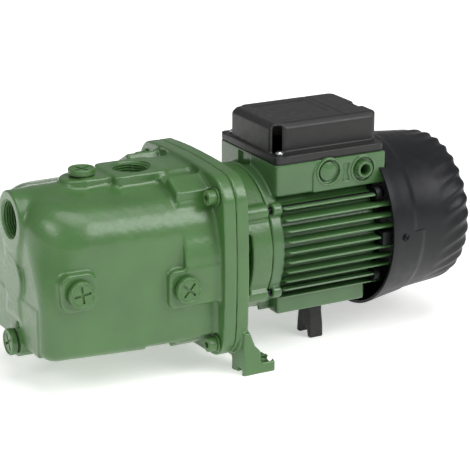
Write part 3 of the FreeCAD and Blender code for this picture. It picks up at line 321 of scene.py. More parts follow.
class Mould:
    """Distance grid in which a cast or moulded shape is formed. Below zero is material.

    Joins are blended by a real fillet radius, which is what a sand casting or a moulding shows.
    """

    def __init__(self, low: Point, high: Point, cell: Point | float) -> None:
        """Open an empty grid.

        Args:
            low: lowest corner in millimetres.
            high: highest corner in millimetres.
            cell: grid spacing, one number or one for each direction.
        """
        self.low = np.array(low, float)
        self.cell = np.array([cell] * 3 if isinstance(cell, (int, float)) else cell, float)
        axes = [np.arange(a, b + c, c, dtype=np.float32) for a, b, c in zip(low, high, self.cell)]
        self.x, self.y, self.z = np.meshgrid(*axes, indexing="ij", sparse=True)
        self.depth = np.full([len(a) for a in axes], FAR, dtype=np.float32)

    @staticmethod
    def edged(parts: Sequence[Any], edge: Any) -> Any:
        """Meet several distances with a rounded edge.

        Args:
            parts: distances from each pair of faces.
            edge: edge radius.

        Returns:
            The distance from the shape they bound.
        """
        total = 0.0
        inner = None
        for part in parts:
            grown = part + edge
            total = total + np.maximum(grown, 0) ** 2
            inner = grown if inner is None else np.maximum(inner, grown)
        return np.sqrt(total) + np.minimum(inner, 0) - edge

    def block(self, low: Point, high: Point, edge: float = 0.5) -> Any:
        """Box from its lowest to its highest corner, with rounded edges."""
        parts = [abs(line - (a + b) / 2) - (b - a) / 2
                 for line, a, b in zip((self.x, self.y, self.z), low, high)]
        return self.edged(parts, edge)

    def pillow(self, low: Point, high: Point, corner: float, roll_top: float, roll_low: float) -> Any:
        """Box with rounded corners in plan and rolled edges above and below."""
        plan = self.edged([abs(line - (a + b) / 2) - (b - a) / 2
                           for line, a, b in zip((self.x, self.y), low, high)], corner)
        middle = (low[2] + high[2]) / 2
        up = abs(self.z - middle) - (high[2] - low[2]) / 2
        return self.edged([plan, up], np.where(self.z > middle, roll_top, roll_low))

    def lines(self, way: str) -> tuple[Any, Any, Any]:
        """Coordinates along an axis, and then along the other two in order."""
        lines = {"x": self.x, "y": self.y, "z": self.z}
        return lines.pop(way), *lines.values()

    def rod(self, way: str, at: tuple[float, float], radius: float, start: float, end: float,
            edge: float = 0.5) -> Any:
        """Round bar along x, y or z.

        Args:
            way: "x", "y" or "z".
            at: its place on the other two axes, in order.
            radius: its radius.
            start: where it starts along its own axis.
            end: where it ends.
            edge: radius of its rims.

        Returns:
            Its distance field.
        """
        along, first, second = self.lines(way)
        out = np.sqrt((first - at[0]) ** 2 + (second - at[1]) ** 2) - radius
        return self.edged([out, abs(along - (start + end) / 2) - (end - start) / 2], edge)

    def bar(self, radius: float, start: float, end: float, edge: float = 0.5) -> Any:
        """Round bar on the shaft's own line, from start to end."""
        return self.rod("x", (0, SHAFT_Z), radius, start, end, edge)

    def plate(self, way: str, outline: Outline, start: float, end: float, edge: float = 0.5) -> Any:
        """Closed outline pushed along x, y or z.

        Args:
            way: direction of the push.
            outline: corners on the other two axes, in order.
            start: where the plate starts.
            end: where it ends.
            edge: radius of its rims.

        Returns:
            Its distance field.
        """
        along, first, second = self.lines(way)
        nearest: Any = None
        inside: Any = False
        count = len(outline)
        for i, (a, b) in enumerate(outline):
            c, d = outline[(i + 1) % count]
            run, rise = c - a, d - b
            t = np.clip(((first - a) * run + (second - b) * rise) / (run * run + rise * rise), 0, 1)
            gap = (first - a - t * run) ** 2 + (second - b - t * rise) ** 2
            nearest = gap if nearest is None else np.minimum(nearest, gap)
            if b != d:
                crosses = ((b > second) != (d > second)) & (first < run * (second - b) / rise + a)
                inside = inside ^ crosses
        out = np.where(inside, -1, 1) * np.sqrt(nearest)
        return self.edged([out, abs(along - (start + end) / 2) - (end - start) / 2], edge)

    def add(self, solid: Any, blend: float = 0.0) -> None:
        """Join a solid on, with a fillet about as large as the blend."""
        if blend <= 0:
            self.depth = np.minimum(self.depth, solid)
            return
        share = np.clip(0.5 + 0.5 * (self.depth - solid) / blend, 0, 1)
        self.depth = self.depth + (solid - self.depth) * share - blend * share * (1 - share)

    def carve(self, solid: Any, blend: float = 0.0) -> None:
        """Take a solid away, rounding the rim by about the blend."""
        if blend <= 0:
            self.depth = np.maximum(self.depth, -solid)
            return
        share = np.clip(0.5 - 0.5 * (self.depth + solid) / blend, 0, 1)
        self.depth = self.depth + (-solid - self.depth) * share + blend * share * (1 - share)

    def roughen(self, height: float, length: float) -> None:
        """Leave the slow waves that a sand mould leaves on a wall."""
        k = 2 * math.pi / length
        wave = np.sin(k * self.x + 1.3) * np.sin(k * 1.13 * self.y + 0.4) * np.sin(k * 0.91 * self.z + 2.1)
        finer = np.sin(k * 2.3 * self.x) * np.sin(k * 2.1 * self.y + 1.0) * np.sin(k * 2.6 * self.z)
        self.depth = self.depth + height * (wave + 0.5 * finer)

    def turn_out(self, name: str) -> bpy.types.Object:
        """Take the finished shape out of the grid as a mesh."""
        band = float(3 * self.cell.max())
        grid = openvdb.FloatGrid(band)
        grid.copyFromArray(np.clip(self.depth, -band, band).astype(np.float32))
        points, _, quads = grid.convertToPolygons()
        return make_object(name, points * self.cell + self.low, quads.tolist())


# ---- finishes

def to_linear(code: str) -> tuple[float, float, float, float]:
    """Turn an sRGB hex colour into linear values with full opacity."""
    parts = [int(code[i:i + 2], 16) / 255 for i in (1, 3, 5)]
    red, green, blue = [c / 12.92 if c <= 0.04045 else ((c + 0.055) / 1.055) ** 2.4 for c in parts]
    return red, green, blue, 1.0


def add_node(tree: bpy.types.NodeTree, kind: str, settings: dict[Any, Any] | None = None,
             links: dict[Any, bpy.types.NodeSocket] | None = None) -> bpy.types.Node:
    """Add one shader node.

    Args:
        tree: the material's node tree.
        kind: node type.
        settings: values by input name or number, or by property name.
        links: sockets by input name or number.

    Returns:
        The new node.
    """
    made = tree.nodes.new(kind)
    for key, value in (settings or {}).items():
        if isinstance(key, int) or key in made.inputs:
            made.inputs[key].default_value = value
        else:
            setattr(made, key, value)
    for key, socket in (links or {}).items():
        tree.links.new(socket, made.inputs[key])
    return made


@dataclass(frozen=True)
class Finish:
    """A material with two close colours, an uneven gloss, a fine relief and an optional painted highlight on
    its rims.

    The relief has two sizes: a slow one from the way the surface was formed, and a fine grain.
    """

    name: str
    colour: str
    shade: str
    rough: float
    rough_spread: float = 0.06
    metallic: float = 0.0
    ior: float = 1.5
    patch_mm: float = 30.0
    slow_mm: float = 5.0
    slow_depth: float = 0.10
    grain_mm: float = 0.8
    grain_depth: float = 0.03
    coat: float = 0.0
    coat_rough: float = 0.2
    stretch: Point = (1.0, 1.0, 1.0)
    # Colour and strength of the painted highlight laid on convex rims.
    rim_highlight: str = ""
    rim_highlight_amount: float = 0.0
    gleam: float = 0.5
    glow: float = 0.0

    def material(self) -> bpy.types.Material:
        """Make the material, or return the one already made."""
        found = bpy.data.materials.get(self.name)
        if found:
            return found
        made = bpy.data.materials.new(self.name)
        made.use_nodes = True
        tree = made.node_tree
        tree.nodes.clear()
        place = add_node(tree, "ShaderNodeTexCoord").outputs["Object"]
        spread = add_node(tree, "ShaderNodeMapping", {"Scale": self.stretch},
                          {"Vector": place}).outputs["Vector"]

        def noise(size: float, detail: float, at: bpy.types.NodeSocket,
                  **more: float) -> bpy.types.NodeSocket:
            """Noise of one size in millimetres."""
            settings = {"Scale": 1 / (size * MM), "Detail": detail, **more}
            return add_node(tree, "ShaderNodeTexNoise", settings, {"Vector": at}).outputs["Fac"]

        def ramp(value: bpy.types.NodeSocket, low: float, high: float, start: float = 0.3,
                 end: float = 0.7) -> bpy.types.NodeSocket:
            """Stretch the middle of a value's range over low to high."""
            settings = {"From Min": start, "From Max": end, "To Min": low, "To Max": high}
            return add_node(tree, "ShaderNodeMapRange", settings, {"Value": value}).outputs["Result"]

        slow = noise(self.slow_mm, 2.0, spread)
        grain = noise(self.grain_mm, 4.0, spread, Roughness=0.6)
        tone = ramp(noise(self.patch_mm, 3.0, place), 0.0, 1.0)
        two_tone = {"data_type": "RGBA", 6: to_linear(self.colour), 7: to_linear(self.shade)}
        shown = add_node(tree, "ShaderNodeMix", two_tone, {0: tone}).outputs[2]
        # Convex rims, found by pointiness, are painted lighter: a painted edge highlight in place of the
        # sheen that light gives them.
        if self.rim_highlight_amount > 0:
            edge = add_node(tree, "ShaderNodeNewGeometry").outputs["Pointiness"]
            rim_highlight_share = ramp(edge, 0.0, self.rim_highlight_amount, 0.53, 0.60)
            shown = add_node(tree, "ShaderNodeMix", {"data_type": "RGBA", 7: to_linear(self.rim_highlight)},
                             {0: rim_highlight_share, 6: shown}).outputs[2]
        gloss = ramp(slow, self.rough - self.rough_spread, self.rough + self.rough_spread)
        first = add_node(tree, "ShaderNodeBump", {"Strength": 1.0, "Distance": self.slow_depth * MM},
                         {"Height": slow})
        second = add_node(tree, "ShaderNodeBump", {"Strength": 1.0, "Distance": self.grain_depth * MM},
                          {"Height": grain, "Normal": first.outputs["Normal"]})
        shader = add_node(tree, "ShaderNodeBsdfPrincipled",
                          {"Metallic": self.metallic, "IOR": self.ior, "Specular IOR Level": self.gleam,
                           "Coat Weight": self.coat, "Coat Roughness": self.coat_rough,
                           "Emission Color": (1, 1, 1, 1), "Emission Strength": self.glow},
                          {"Base Color": shown, "Roughness": gloss, "Normal": second.outputs["Normal"]})
        add_node(tree, "ShaderNodeOutputMaterial", None, {"Surface": shader.outputs["BSDF"]})
        return made


# Sprayed enamel over a sand casting: satin gloss that breaks up over the sand's grain and pools in corners.
# Its rims are painted lighter as a painted highlight.
CAST_ENAMEL = Finish("sprayed_enamel_on_sand_cast_iron", "#446d37", "#3d6431", 0.38, 0.06, slow_mm=2.6,
                     slow_depth=0.22, grain_mm=0.9, grain_depth=0.10, coat=0.5, coat_rough=0.22,
                     rim_highlight="#6f9362", rim_highlight_amount=0.35)
# The same enamel over a die casting: smoother, so the highlights along the fins run cleanly. Its rims are
# painted lighter as a painted highlight.
DIE_CAST_ENAMEL = Finish("sprayed_enamel_on_die_cast_aluminium", "#42693a", "#3b6033", 0.34, 0.05,
                         slow_mm=3.5, grain_depth=0.05, coat=0.5, coat_rough=0.22, rim_highlight="#6c9060",
                         rim_highlight_amount=0.30)
# Enamel over turned and pressed hardware: thin, with its rims painted a little lighter as a painted
# highlight.
HARDWARE_ENAMEL = Finish("thin_enamel_on_turned_brass", "#486f3a", "#406634", 0.36, 0.05, slow_mm=2.0,
                         slow_depth=0.06, grain_mm=0.5, grain_depth=0.04, coat=0.2, coat_rough=0.3,
                         rim_highlight="#7f9c6e", rim_highlight_amount=0.5)
# Injection moulded ABS with a spark eroded texture: dark grey with a broad, soft highlight.
LID_PLASTIC = Finish("spark_textured_moulded_abs", "#232322", "#1e1e1e", 0.42, 0.05, ior=1.54, slow_mm=6.0,
                     slow_depth=0.05, grain_mm=0.7, grain_depth=0.06, gleam=0.4)
# Injection moulded polypropylene: blacker, slightly waxy.
COVER_PLASTIC = Finish("moulded_polypropylene", "#141518", "#111215", 0.38, 0.05, ior=1.49, slow_mm=8.0,
                       slow_depth=0.06, grain_mm=0.8, grain_depth=0.05, gleam=0.3)
# Moulded nitrile rubber: matt black, faintly dusty.
RUBBER = Finish("moulded_nitrile_rubber", "#1b1b1c", "#242424", 0.68, 0.07, ior=1.52, slow_mm=4.0,
                slow_depth=0.05, grain_mm=0.6, grain_depth=0.05)
metal = partial(Finish, metallic=1.0, slow_mm=2.0, slow_depth=0.01, grain_mm=0.4, grain_depth=0.01)
# Black oxide on rolled steel: nearly black with a low metal sheen.
BLACK_STEEL = metal("black_oxide_steel", "#2c2d2e", "#232425", 0.40, 0.05)
# Turned carbon steel: fine feed lines round the shaft.
STEEL = metal("turned_carbon_steel", "#9b9c9d", "#8b8c8e", 0.32, slow_mm=3.0, grain_mm=0.5,
              stretch=(3.0, 0.4, 0.4))
# Bright zinc plate: cool, nearly white, small sharp highlights.
ZINC_PLATE = metal("bright_zinc_plated_steel", "#d3d6d8", "#bfc3c6", 0.22, 0.05)
# Turned brass: warm and yellow, with soft highlights.
BRASS = metal("turned_brass", "#c3a25a", "#b08f4a", 0.30)
# Stacked silicon steel sheets, 0.5 mm each: fine lines across the shaft.
LAMINATION = metal("stacked_silicon_steel", "#5b5d60", "#4c4e51", 0.45, slow_depth=0.04, grain_mm=0.5,
                   grain_depth=0.03, stretch=(4.0, 0.2, 0.2))
# Varnished copper wire: red-brown under a thin, glossy skin.
COPPER = metal("varnished_copper_wire", "#a3512c", "#8c4324", 0.35, 0.08, slow_mm=1.6, slow_depth=0.20,
               grain_mm=0.5, grain_depth=0.05, coat=0.4)
# Die cast aluminium left bare: pale, with a soft uneven sheen.
die_cast = partial(metal, slow_mm=4.0, slow_depth=0.06, grain_mm=0.6, grain_depth=0.03)
ALUMINIUM = die_cast("die_cast_aluminium", "#b3b5b8", "#a3a5a8", 0.42, 0.07)
# The same metal, much darker, on the rear shield behind the fan.
DARK_ALUMINIUM = die_cast("dark_die_cast_aluminium", "#3f4142", "#343637", 0.50)
# Glass filled engineering plastic: dark grey with visible fibre mottling.
FILLED_PLASTIC = Finish("glass_filled_polyphenylene_ether", "#4a4a48", "#3d3d3c", 0.50, 0.07, ior=1.53,
                        slow_mm=3.0, slow_depth=0.04, grain_mm=0.6, grain_depth=0.04)
# Fired alumina: off-white and even.
CERAMIC = Finish("fired_alumina", "#e6e1d4", "#d9d3c5", 0.28, 0.04, ior=1.76, slow_mm=3.0, slow_depth=0.01,
                 grain_mm=0.3, grain_depth=0.005)
# Pressed carbon: dark grey with a low sheen.
CARBON = Finish("pressed_carbon", "#2a2b2c", "#323334", 0.45, 0.05, ior=1.9, slow_mm=2.0, slow_depth=0.02,
                grain_mm=0.3, grain_depth=0.01)
# Moulded polycarbonate of the capacitor's can: pale and slightly glossy.
CAN_PLASTIC = Finish("moulded_pale_polycarbonate", "#c9cbc9", "#bdbfbd", 0.40, 0.05, ior=1.58,
                     slow_depth=0.03, grain_mm=0.7)
# White acrylic lit from below: a plain pale ground that keeps a soft shadow.
FLOOR_ACRYLIC = Finish("backlit_white_acrylic", "#f6f6f4", "#f3f3f1", 0.9, 0.02, slow_mm=40, slow_depth=0.01,
                       grain_mm=3, grain_depth=0.01, glow=0.45)

SLOT_FINISHES: dict[str, Finish] = {
    "body_enamel": CAST_ENAMEL, "casing_enamel": DIE_CAST_ENAMEL, "cover_plastic": COVER_PLASTIC,
    "lid_plastic": LID_PLASTIC, "rubber": RUBBER, "steel": STEEL, "plated_steel": ZINC_PLATE, "brass": BRASS,
    "engineering_plastic": FILLED_PLASTIC, "ceramic": CERAMIC, "carbon": CARBON, "lamination": LAMINATION,
    "copper": COPPER, "aluminium": ALUMINIUM, "capacitor_plastic": CAN_PLASTIC,
}
NODE_FINISHES: dict[str, Finish] = {"tie_rods": BLACK_STEEL, "rear_shield": DARK_ALUMINIUM}
NODE_SLOTS: dict[str, str] = {s["node"]: s["material_slot"] for s in frame["record"]["subparts"]}


def dress(piece: bpy.types.Object, finish: Finish, *nodes: str, angle: float = 35.0) -> None:
    """Give a piece its finish and let it stand for its CAD nodes, on their body.

    Args:
        piece: finished mesh.
        finish: its material.
        nodes: CAD nodes that it stands for.
        angle: edges sharper than this stay sharp, in degrees.
    """
    shade(piece, angle)
    piece.data.materials.clear()
    piece.data.materials.append(finish.material())
    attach(piece, frame["nodes"][nodes[0]]["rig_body"])
    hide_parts(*nodes)
    LOG.info("%s stands for %s with %d faces", piece.name, ", ".join(nodes), len(piece.data.polygons))


# ---- pieces

def flange_field(mould: Mould, start: float, end: float, edge: float) -> Any:
    """Square flange with bowed sides and rounded corners, standing across the shaft."""
    half_w, half_tall, bow, corner, middle = 86.0, 85.0, 5.0, 20.0, 98.0
    across = abs(mould.y)
    up = abs(mould.z - middle)
    side = across + bow * (up / half_tall) ** 2 - half_w
    top = up + bow * (across / half_w) ** 2 - half_tall
    plan = Mould.edged([side, top], corner)
    return Mould.edged([plan, abs(mould.x - (start + end) / 2) - (end - start) / 2], edge)


@dataclass
class PumpBody:
    """Sand cast pump body with its ports, plug bosses, drum and flange."""

    front_x: float = -202.0
    half_w: float = 71.0
    top_z: float = 170.5
    floor_z: float = 33.0
    nose_r: float = 46.0
    low_corner: float = 13.0
    top_roll: float = 24.0
    low_roll: float = 8.0
    dome: float = 330.0
    draft_w: float = 5.0
    draft_floor: float = 4.0
    cell: float = 1.15
    plug_hole_r: float = 8.3
    bolt_hole_r: float = 4.6
    port_r: float = 15.15
    port_mouth: float = 17.8
    port_pitch: float = 2.309
    thread_depth: float = 1.4
    suction: Point = (-205.0, 0.0, 148.0)
    delivery: Point = (-91.0, 0.0, 178.6)

    def core(self, mould: Mould) -> Any:
        """Form the plain chamber: near square low down, and drawn in to a round nose and a domed top."""
        rise = np.clip((mould.z - 78) / 76, 0, 1)
        corner = self.low_corner + (self.nose_r - self.low_corner) * rise * rise * (3 - 2 * rise)
        long = abs(mould.x - (self.front_x + 40) / 2) - (40 - self.front_x) / 2
        draft = np.clip((-90 - mould.x) / 110, 0, 1)
        plan = Mould.edged([long, abs(mould.y) - self.half_w + self.draft_w * draft], corner)
        dome = mould.z - self.top_z + mould.y ** 2 / self.dome
        middle = (self.top_z + self.floor_z) / 2
        up = np.maximum(dome, self.floor_z + self.draft_floor * draft - mould.z)
        skin = Mould.edged([plan, up], np.where(mould.z > middle, self.top_roll, self.low_roll))
        return np.maximum(skin, mould.x + 40.0)

    def outside(self, mould: Mould) -> Any:
        """Form the outer skin, and return the plain block it starts from."""
        core = self.core(mould)
        mould.add(core)
        mould.add(mould.bar(78.3, -76, -38, 1.8), 2)
        self.ejector_front(mould)
        self.corner_blocks(mould)
        self.top_pads(mould)
        self.side_bosses(mould)
        mould.add(flange_field(mould, BODY_FACE_X, JOINT_X, 1.6), 5)
        mould.roughen(0.08, 24)
        for y, z in BOLTS:
            mould.carve(mould.rod("x", (y, z), 9.6, -110, BODY_FACE_X, 1), 2)
        mould.depth = np.maximum(mould.depth, -205 - mould.x)
        return core

    def ejector_front(self, mould: Mould) -> None:
        """Form the suction boss, the neck under it, the flat nose pad, the round pad and the drain boss."""
        neck = [(-17, 60), (17, 60), (13, 100), (21, 140), (-21, 140), (-13, 100)]
        mould.add(mould.plate("x", neck, -203.5, -165, 5), 7)
        mould.add(mould.block((-203.0, -52, 38), (-180, 52, 81), 1.6), 0.8)
        mould.add(mould.rod("x", (0, 95), 21, -205, -180, 1.6), 2)
        mould.add(mould.rod("x", (0, 148), 24.7, -205, -120, 1.6), 5)
        mould.add(mould.rod("x", (0, 37), 14, -203.5, -180, 1.2), 2.5)
        mould.carve(mould.rod("x", (-6, 53.5), 3.0, -206, -200.5, 0.5), 1)

    def corner_blocks(self, mould: Mould) -> None:
        """Form the four blocks that lead to the flange bolts."""
        lean = math.radians(28)
        for side in (-1, 1):
            for up, face in ((1, 88.0), (-1, 88.5)):
                y = mould.y * side
                z = (mould.z - SHAFT_Z) * up
                out = y * math.sin(lean) + z * math.cos(lean)
                along = y * math.cos(lean) - z * math.sin(lean)
                parts = [abs(mould.x + 56.5) - 19, abs(out - (face - 12)) - 12, abs(along - 13.3) - 14.2]
                mould.add(Mould.edged(parts, 2.2), 3.5)

    def top_pads(self, mould: Mould) -> None:
        """Form the strip under the filling plug and the pad round the delivery port."""
        mould.add(mould.rod("z", (-141, 0), 16, 150, 177, 2), 4)
        mould.add(mould.block((-141, -16, 150), (-100, 16, 177), 2), 4)
        mould.add(mould.pillow((-116, -25, 156), (-66, 25, 178.6), 6, 2, 0.5), 4)
        mould.add(mould.block((-75, -22, 156), (-38, 22, 177.6), 2), 4)

    def side_bosses(self, mould: Mould) -> None:
        """Form the two plug bosses on the near side."""
        for low, high, corner in (((-189.5, -73.5, 82.5), (-156.5, -40, 115.5), 10),
                                  ((-92, -77.5, 71), (-20, -50, 105), 7)):
            spans = ((mould.x, low[0], high[0]), (mould.z, low[2], high[2]))
            plan = Mould.edged([abs(line - (a + b) / 2) - (b - a) / 2 for line, a, b in spans], corner)
            faces = [np.maximum(plan, mould.x + 38), low[1] - mould.y, mould.y - high[1]]
            mould.add(Mould.edged(faces, 1.6), 3)

    def hollow(self, mould: Mould, core: Any) -> None:
        """Form the water chamber, the impeller's room, the ejector's room and its inlet."""
        room = np.maximum(core + 7, mould.x + 65)
        room = np.minimum(room, mould.bar(70.3, -66, -25, 0.5))
        dome = mould.bar(33, -210, -146, 3)
        chimney = mould.block((-210, -21, 100), (-151, 21, 175), 3)
        room = np.maximum(room, -np.minimum(dome, chimney))
        mould.carve(room)
        mould.carve(mould.bar(27, -178, -152, 1))
        mould.carve(mould.rod("z", (-172, 0), 15, 100, 148, 1))
        mould.carve(mould.bar(10.1, -190, -175, 0.2))
        mould.carve(mould.bar(15.1, -155, -144, 0.2))

    def machine(self, casting: bpy.types.Object) -> None:
        """Cut the threaded ports, the plug holes and the bolt holes."""
        for name, at, way, length in (("suction_tap", self.suction, Way.LEFT, 33),
                                      ("delivery_tap", self.delivery, Way.UP, 18)):
            tool = tap(name, self.port_r, self.port_pitch, self.thread_depth, length, at, way,
                       self.port_mouth)
            work_on(casting, tool, Cut.AWAY)
        for _, seat, way, _, depth in PLUGS:
            drill(casting, seat, way, self.plug_hole_r, -depth, 3.5, 64)
        for y, z in BOLTS:
            drill(casting, (BODY_FACE_X - 1, y, z), Way.RIGHT, self.bolt_hole_r, -1, 14)

    def build(self) -> None:
        """Make the casting and dress it."""
        mould = Mould((-210, -92, 8), (-27, 92, 188), self.cell)
        core = self.outside(mould)
        self.hollow(mould, core)
        casting = mould.turn_out("pump_casting")
        self.machine(casting)
        dress(casting, CAST_ENAMEL, "pump_body", angle=50)


@dataclass
class Plug:
    """Screwed plug with a crossed slot, on its sealing ring."""

    name: str
    at: Point
    way: Way
    turn: float = 0.0
    head: float = 5.5
    seal: float = 1.6
    slot_half: float = 7.7
    slot_half_w: float = 1.1

    def build(self) -> None:
        """Make the plug and its ring and dress them."""
        thread = [(-10, 0), (-10, 7.4), (-9.2, 8.15), (0, 8.15)]
        rim = [(0, 11.2), (0.8, 11.8), (self.head - 0.8, 11.8), (self.head, 11.1), (self.head, 10.0),
               (self.head - 0.8, 9.4), (self.head - 0.8, 0)]
        profile = rounded_outline(thread + rim, 0.35, 3)
        start = Vector(self.at) + Vector(self.way.value) * self.seal
        plug = turned("plug_" + self.name, profile, tuple(start), self.way, 96)
        for angle in (self.turn, self.turn + 90):
            self.slot(plug, start, angle)
        dress(plug, HARDWARE_ENAMEL, self.name, angle=30)
        ring = turned("seal_ring_" + self.name,
                      rounded_outline([(0, 8.3), (self.seal, 8.3), (self.seal, 10.8), (0, 10.8)], 0.5, 3),
                      self.at, self.way, 96)
        dress(ring, RUBBER, self.name + "_seal", angle=30)

    def slot(self, plug: bpy.types.Object, start: Vector, angle: float) -> None:
        """Cut one arm of the cross.

        Args:
            plug: the plug.
            start: middle of its seat.
            angle: turn of the arm about the plug's axis, in degrees.
        """
        c, s = math.cos(math.radians(angle)), math.sin(math.radians(angle))
        half, wide = self.slot_half, self.slot_half_w
        arm = [(half * c - wide * s, half * s + wide * c), (-half * c - wide * s, -half * s + wide * c),
               (-half * c + wide * s, -half * s - wide * c), (half * c + wide * s, half * s - wide * c)]
        spot = start + Vector(self.way.value) * (self.head - 2.4)
        work_on(plug, prism("slot_tool", arm, tuple(spot), self.way, 4), Cut.AWAY)


@dataclass
class MotorBracket:
    """Cast bracket with its flange, lantern, tie rod lugs, side windows and two feet."""

    lantern_r: float = 66.7
    cell: float = 1.0

    def foot(self, mould: Mould, side: int) -> None:
        """Form one foot.

        Args:
            mould: grid of the bracket.
            side: -1 for the near foot, 1 for the far one.
        """
        profile = [(-25, 0), (6, 0), (6, 10), (-7, 10), (-8.5, 12), (-8.5, 21), (-14, 27), (-19, 40),
                   (-25, 40)]
        start, end = sorted((side * 63, side * 87.6))
        mould.add(mould.plate("y", profile, start, end, 1.2), 2)
        start, end = sorted((side * 48, side * 64))
        mould.add(mould.block((-24.5, start, 11), (-12, end, 40), 1.5), 2)
        mould.carve(mould.rod("z", (-1, side * 78), 7.5, 6.2, 26, 0.6), 0.8)
        mould.carve(mould.rod("z", (0, side * 78), 4.75, -5, 14, 0.4), 0.8)
        mould.carve(mould.block((-26, side * 78 - 4, -2), (-20, side * 78 + 4, 5), 1.5), 1)

    def build(self) -> None:
        """Make the casting and dress it."""
        mould = Mould((-34, -92, -3), (18, 92, 188), self.cell)
        mould.add(mould.bar(self.lantern_r, -25, 15, 0.8))
        for y, z in RODS:
            mould.add(mould.rod("x", (y, z), 6.8, -25, 13, 1.2), 3)
        mould.add(flange_field(mould, JOINT_X, BRACKET_FACE_X, 1.6), 4)
        for side in (-1, 1):
            self.foot(mould, side)
            mould.carve(mould.block((-12.5, side * 70 - 14, 64), (-5, side * 70 + 14, 121), 2.5), 1.5)
        mould.roughen(0.08, 22)
        room = mould.bar(self.lantern_r - 7, -14, 30, 2)
        room = np.maximum(room, -mould.bar(26, -30, 15, 0.5))
        mould.carve(room)
        mould.carve(mould.bar(17.1, -40, -20, 0.2))
        mould.carve(mould.bar(10.2, -40, 30, 0.2))
        mould.carve(mould.bar(20.1, 3, 30, 0.2))
        for y, z in BOLTS:
            mould.carve(mould.rod("x", (y, z), 4.4, -40, -10, 0.2))
        casting = mould.turn_out("bracket_casting")
        dress(casting, CAST_ENAMEL, "motor_bracket", angle=50)


@dataclass
class FlangeScrews:
    """Four socket head screws with washers that hold the body to the bracket."""

    washer: float = 1.6
    head: float = 8.0
    head_r: float = 6.5

    def build(self) -> None:
        """Make all four as two pieces and dress them."""
        screws: bpy.types.Object | None = None
        washers: bpy.types.Object | None = None
        for y, z in BOLTS:
            x = BODY_FACE_X - self.washer - self.head
            profile = rounded_outline([(0, 0), (0, self.head_r), (self.head, self.head_r), (self.head, 4.0),
                                       (self.head + 24.4, 4.0), (self.head + 24.4, 0)], 0.8, 3)
            screw = turned("flange_screws", profile, (x, y, z), Way.RIGHT, 48)
            socket = [(3.4 * math.cos(math.pi * k / 3), 3.4 * math.sin(math.pi * k / 3)) for k in range(6)]
            work_on(screw, prism("socket_tool", socket, (x - 1, y, z), Way.RIGHT, 5), Cut.AWAY)
            disc = turned("flange_washers", rounded_outline([(0, 4.2), (0, 8), (self.washer, 8),
                                                             (self.washer, 4.2)], 0.3, 2),
                          (BODY_FACE_X - self.washer, y, z), Way.RIGHT, 48)
            screws = joined(screws, screw)
            washers = joined(washers, disc)
        dress(screws, HARDWARE_ENAMEL, "flange_bolts", angle=30)
        dress(washers, HARDWARE_ENAMEL, "flange_washers", angle=30)


def joined(first: bpy.types.Object | None, second: bpy.types.Object) -> bpy.types.Object:
    """Put a second mesh into the first, and return the first."""
    if first is None:
        return second
    work = bmesh.new()
    work.from_mesh(first.data)
    work.from_mesh(second.data)
    work.to_mesh(first.data)
    work.free()
    bpy.data.objects.remove(second)
    return first


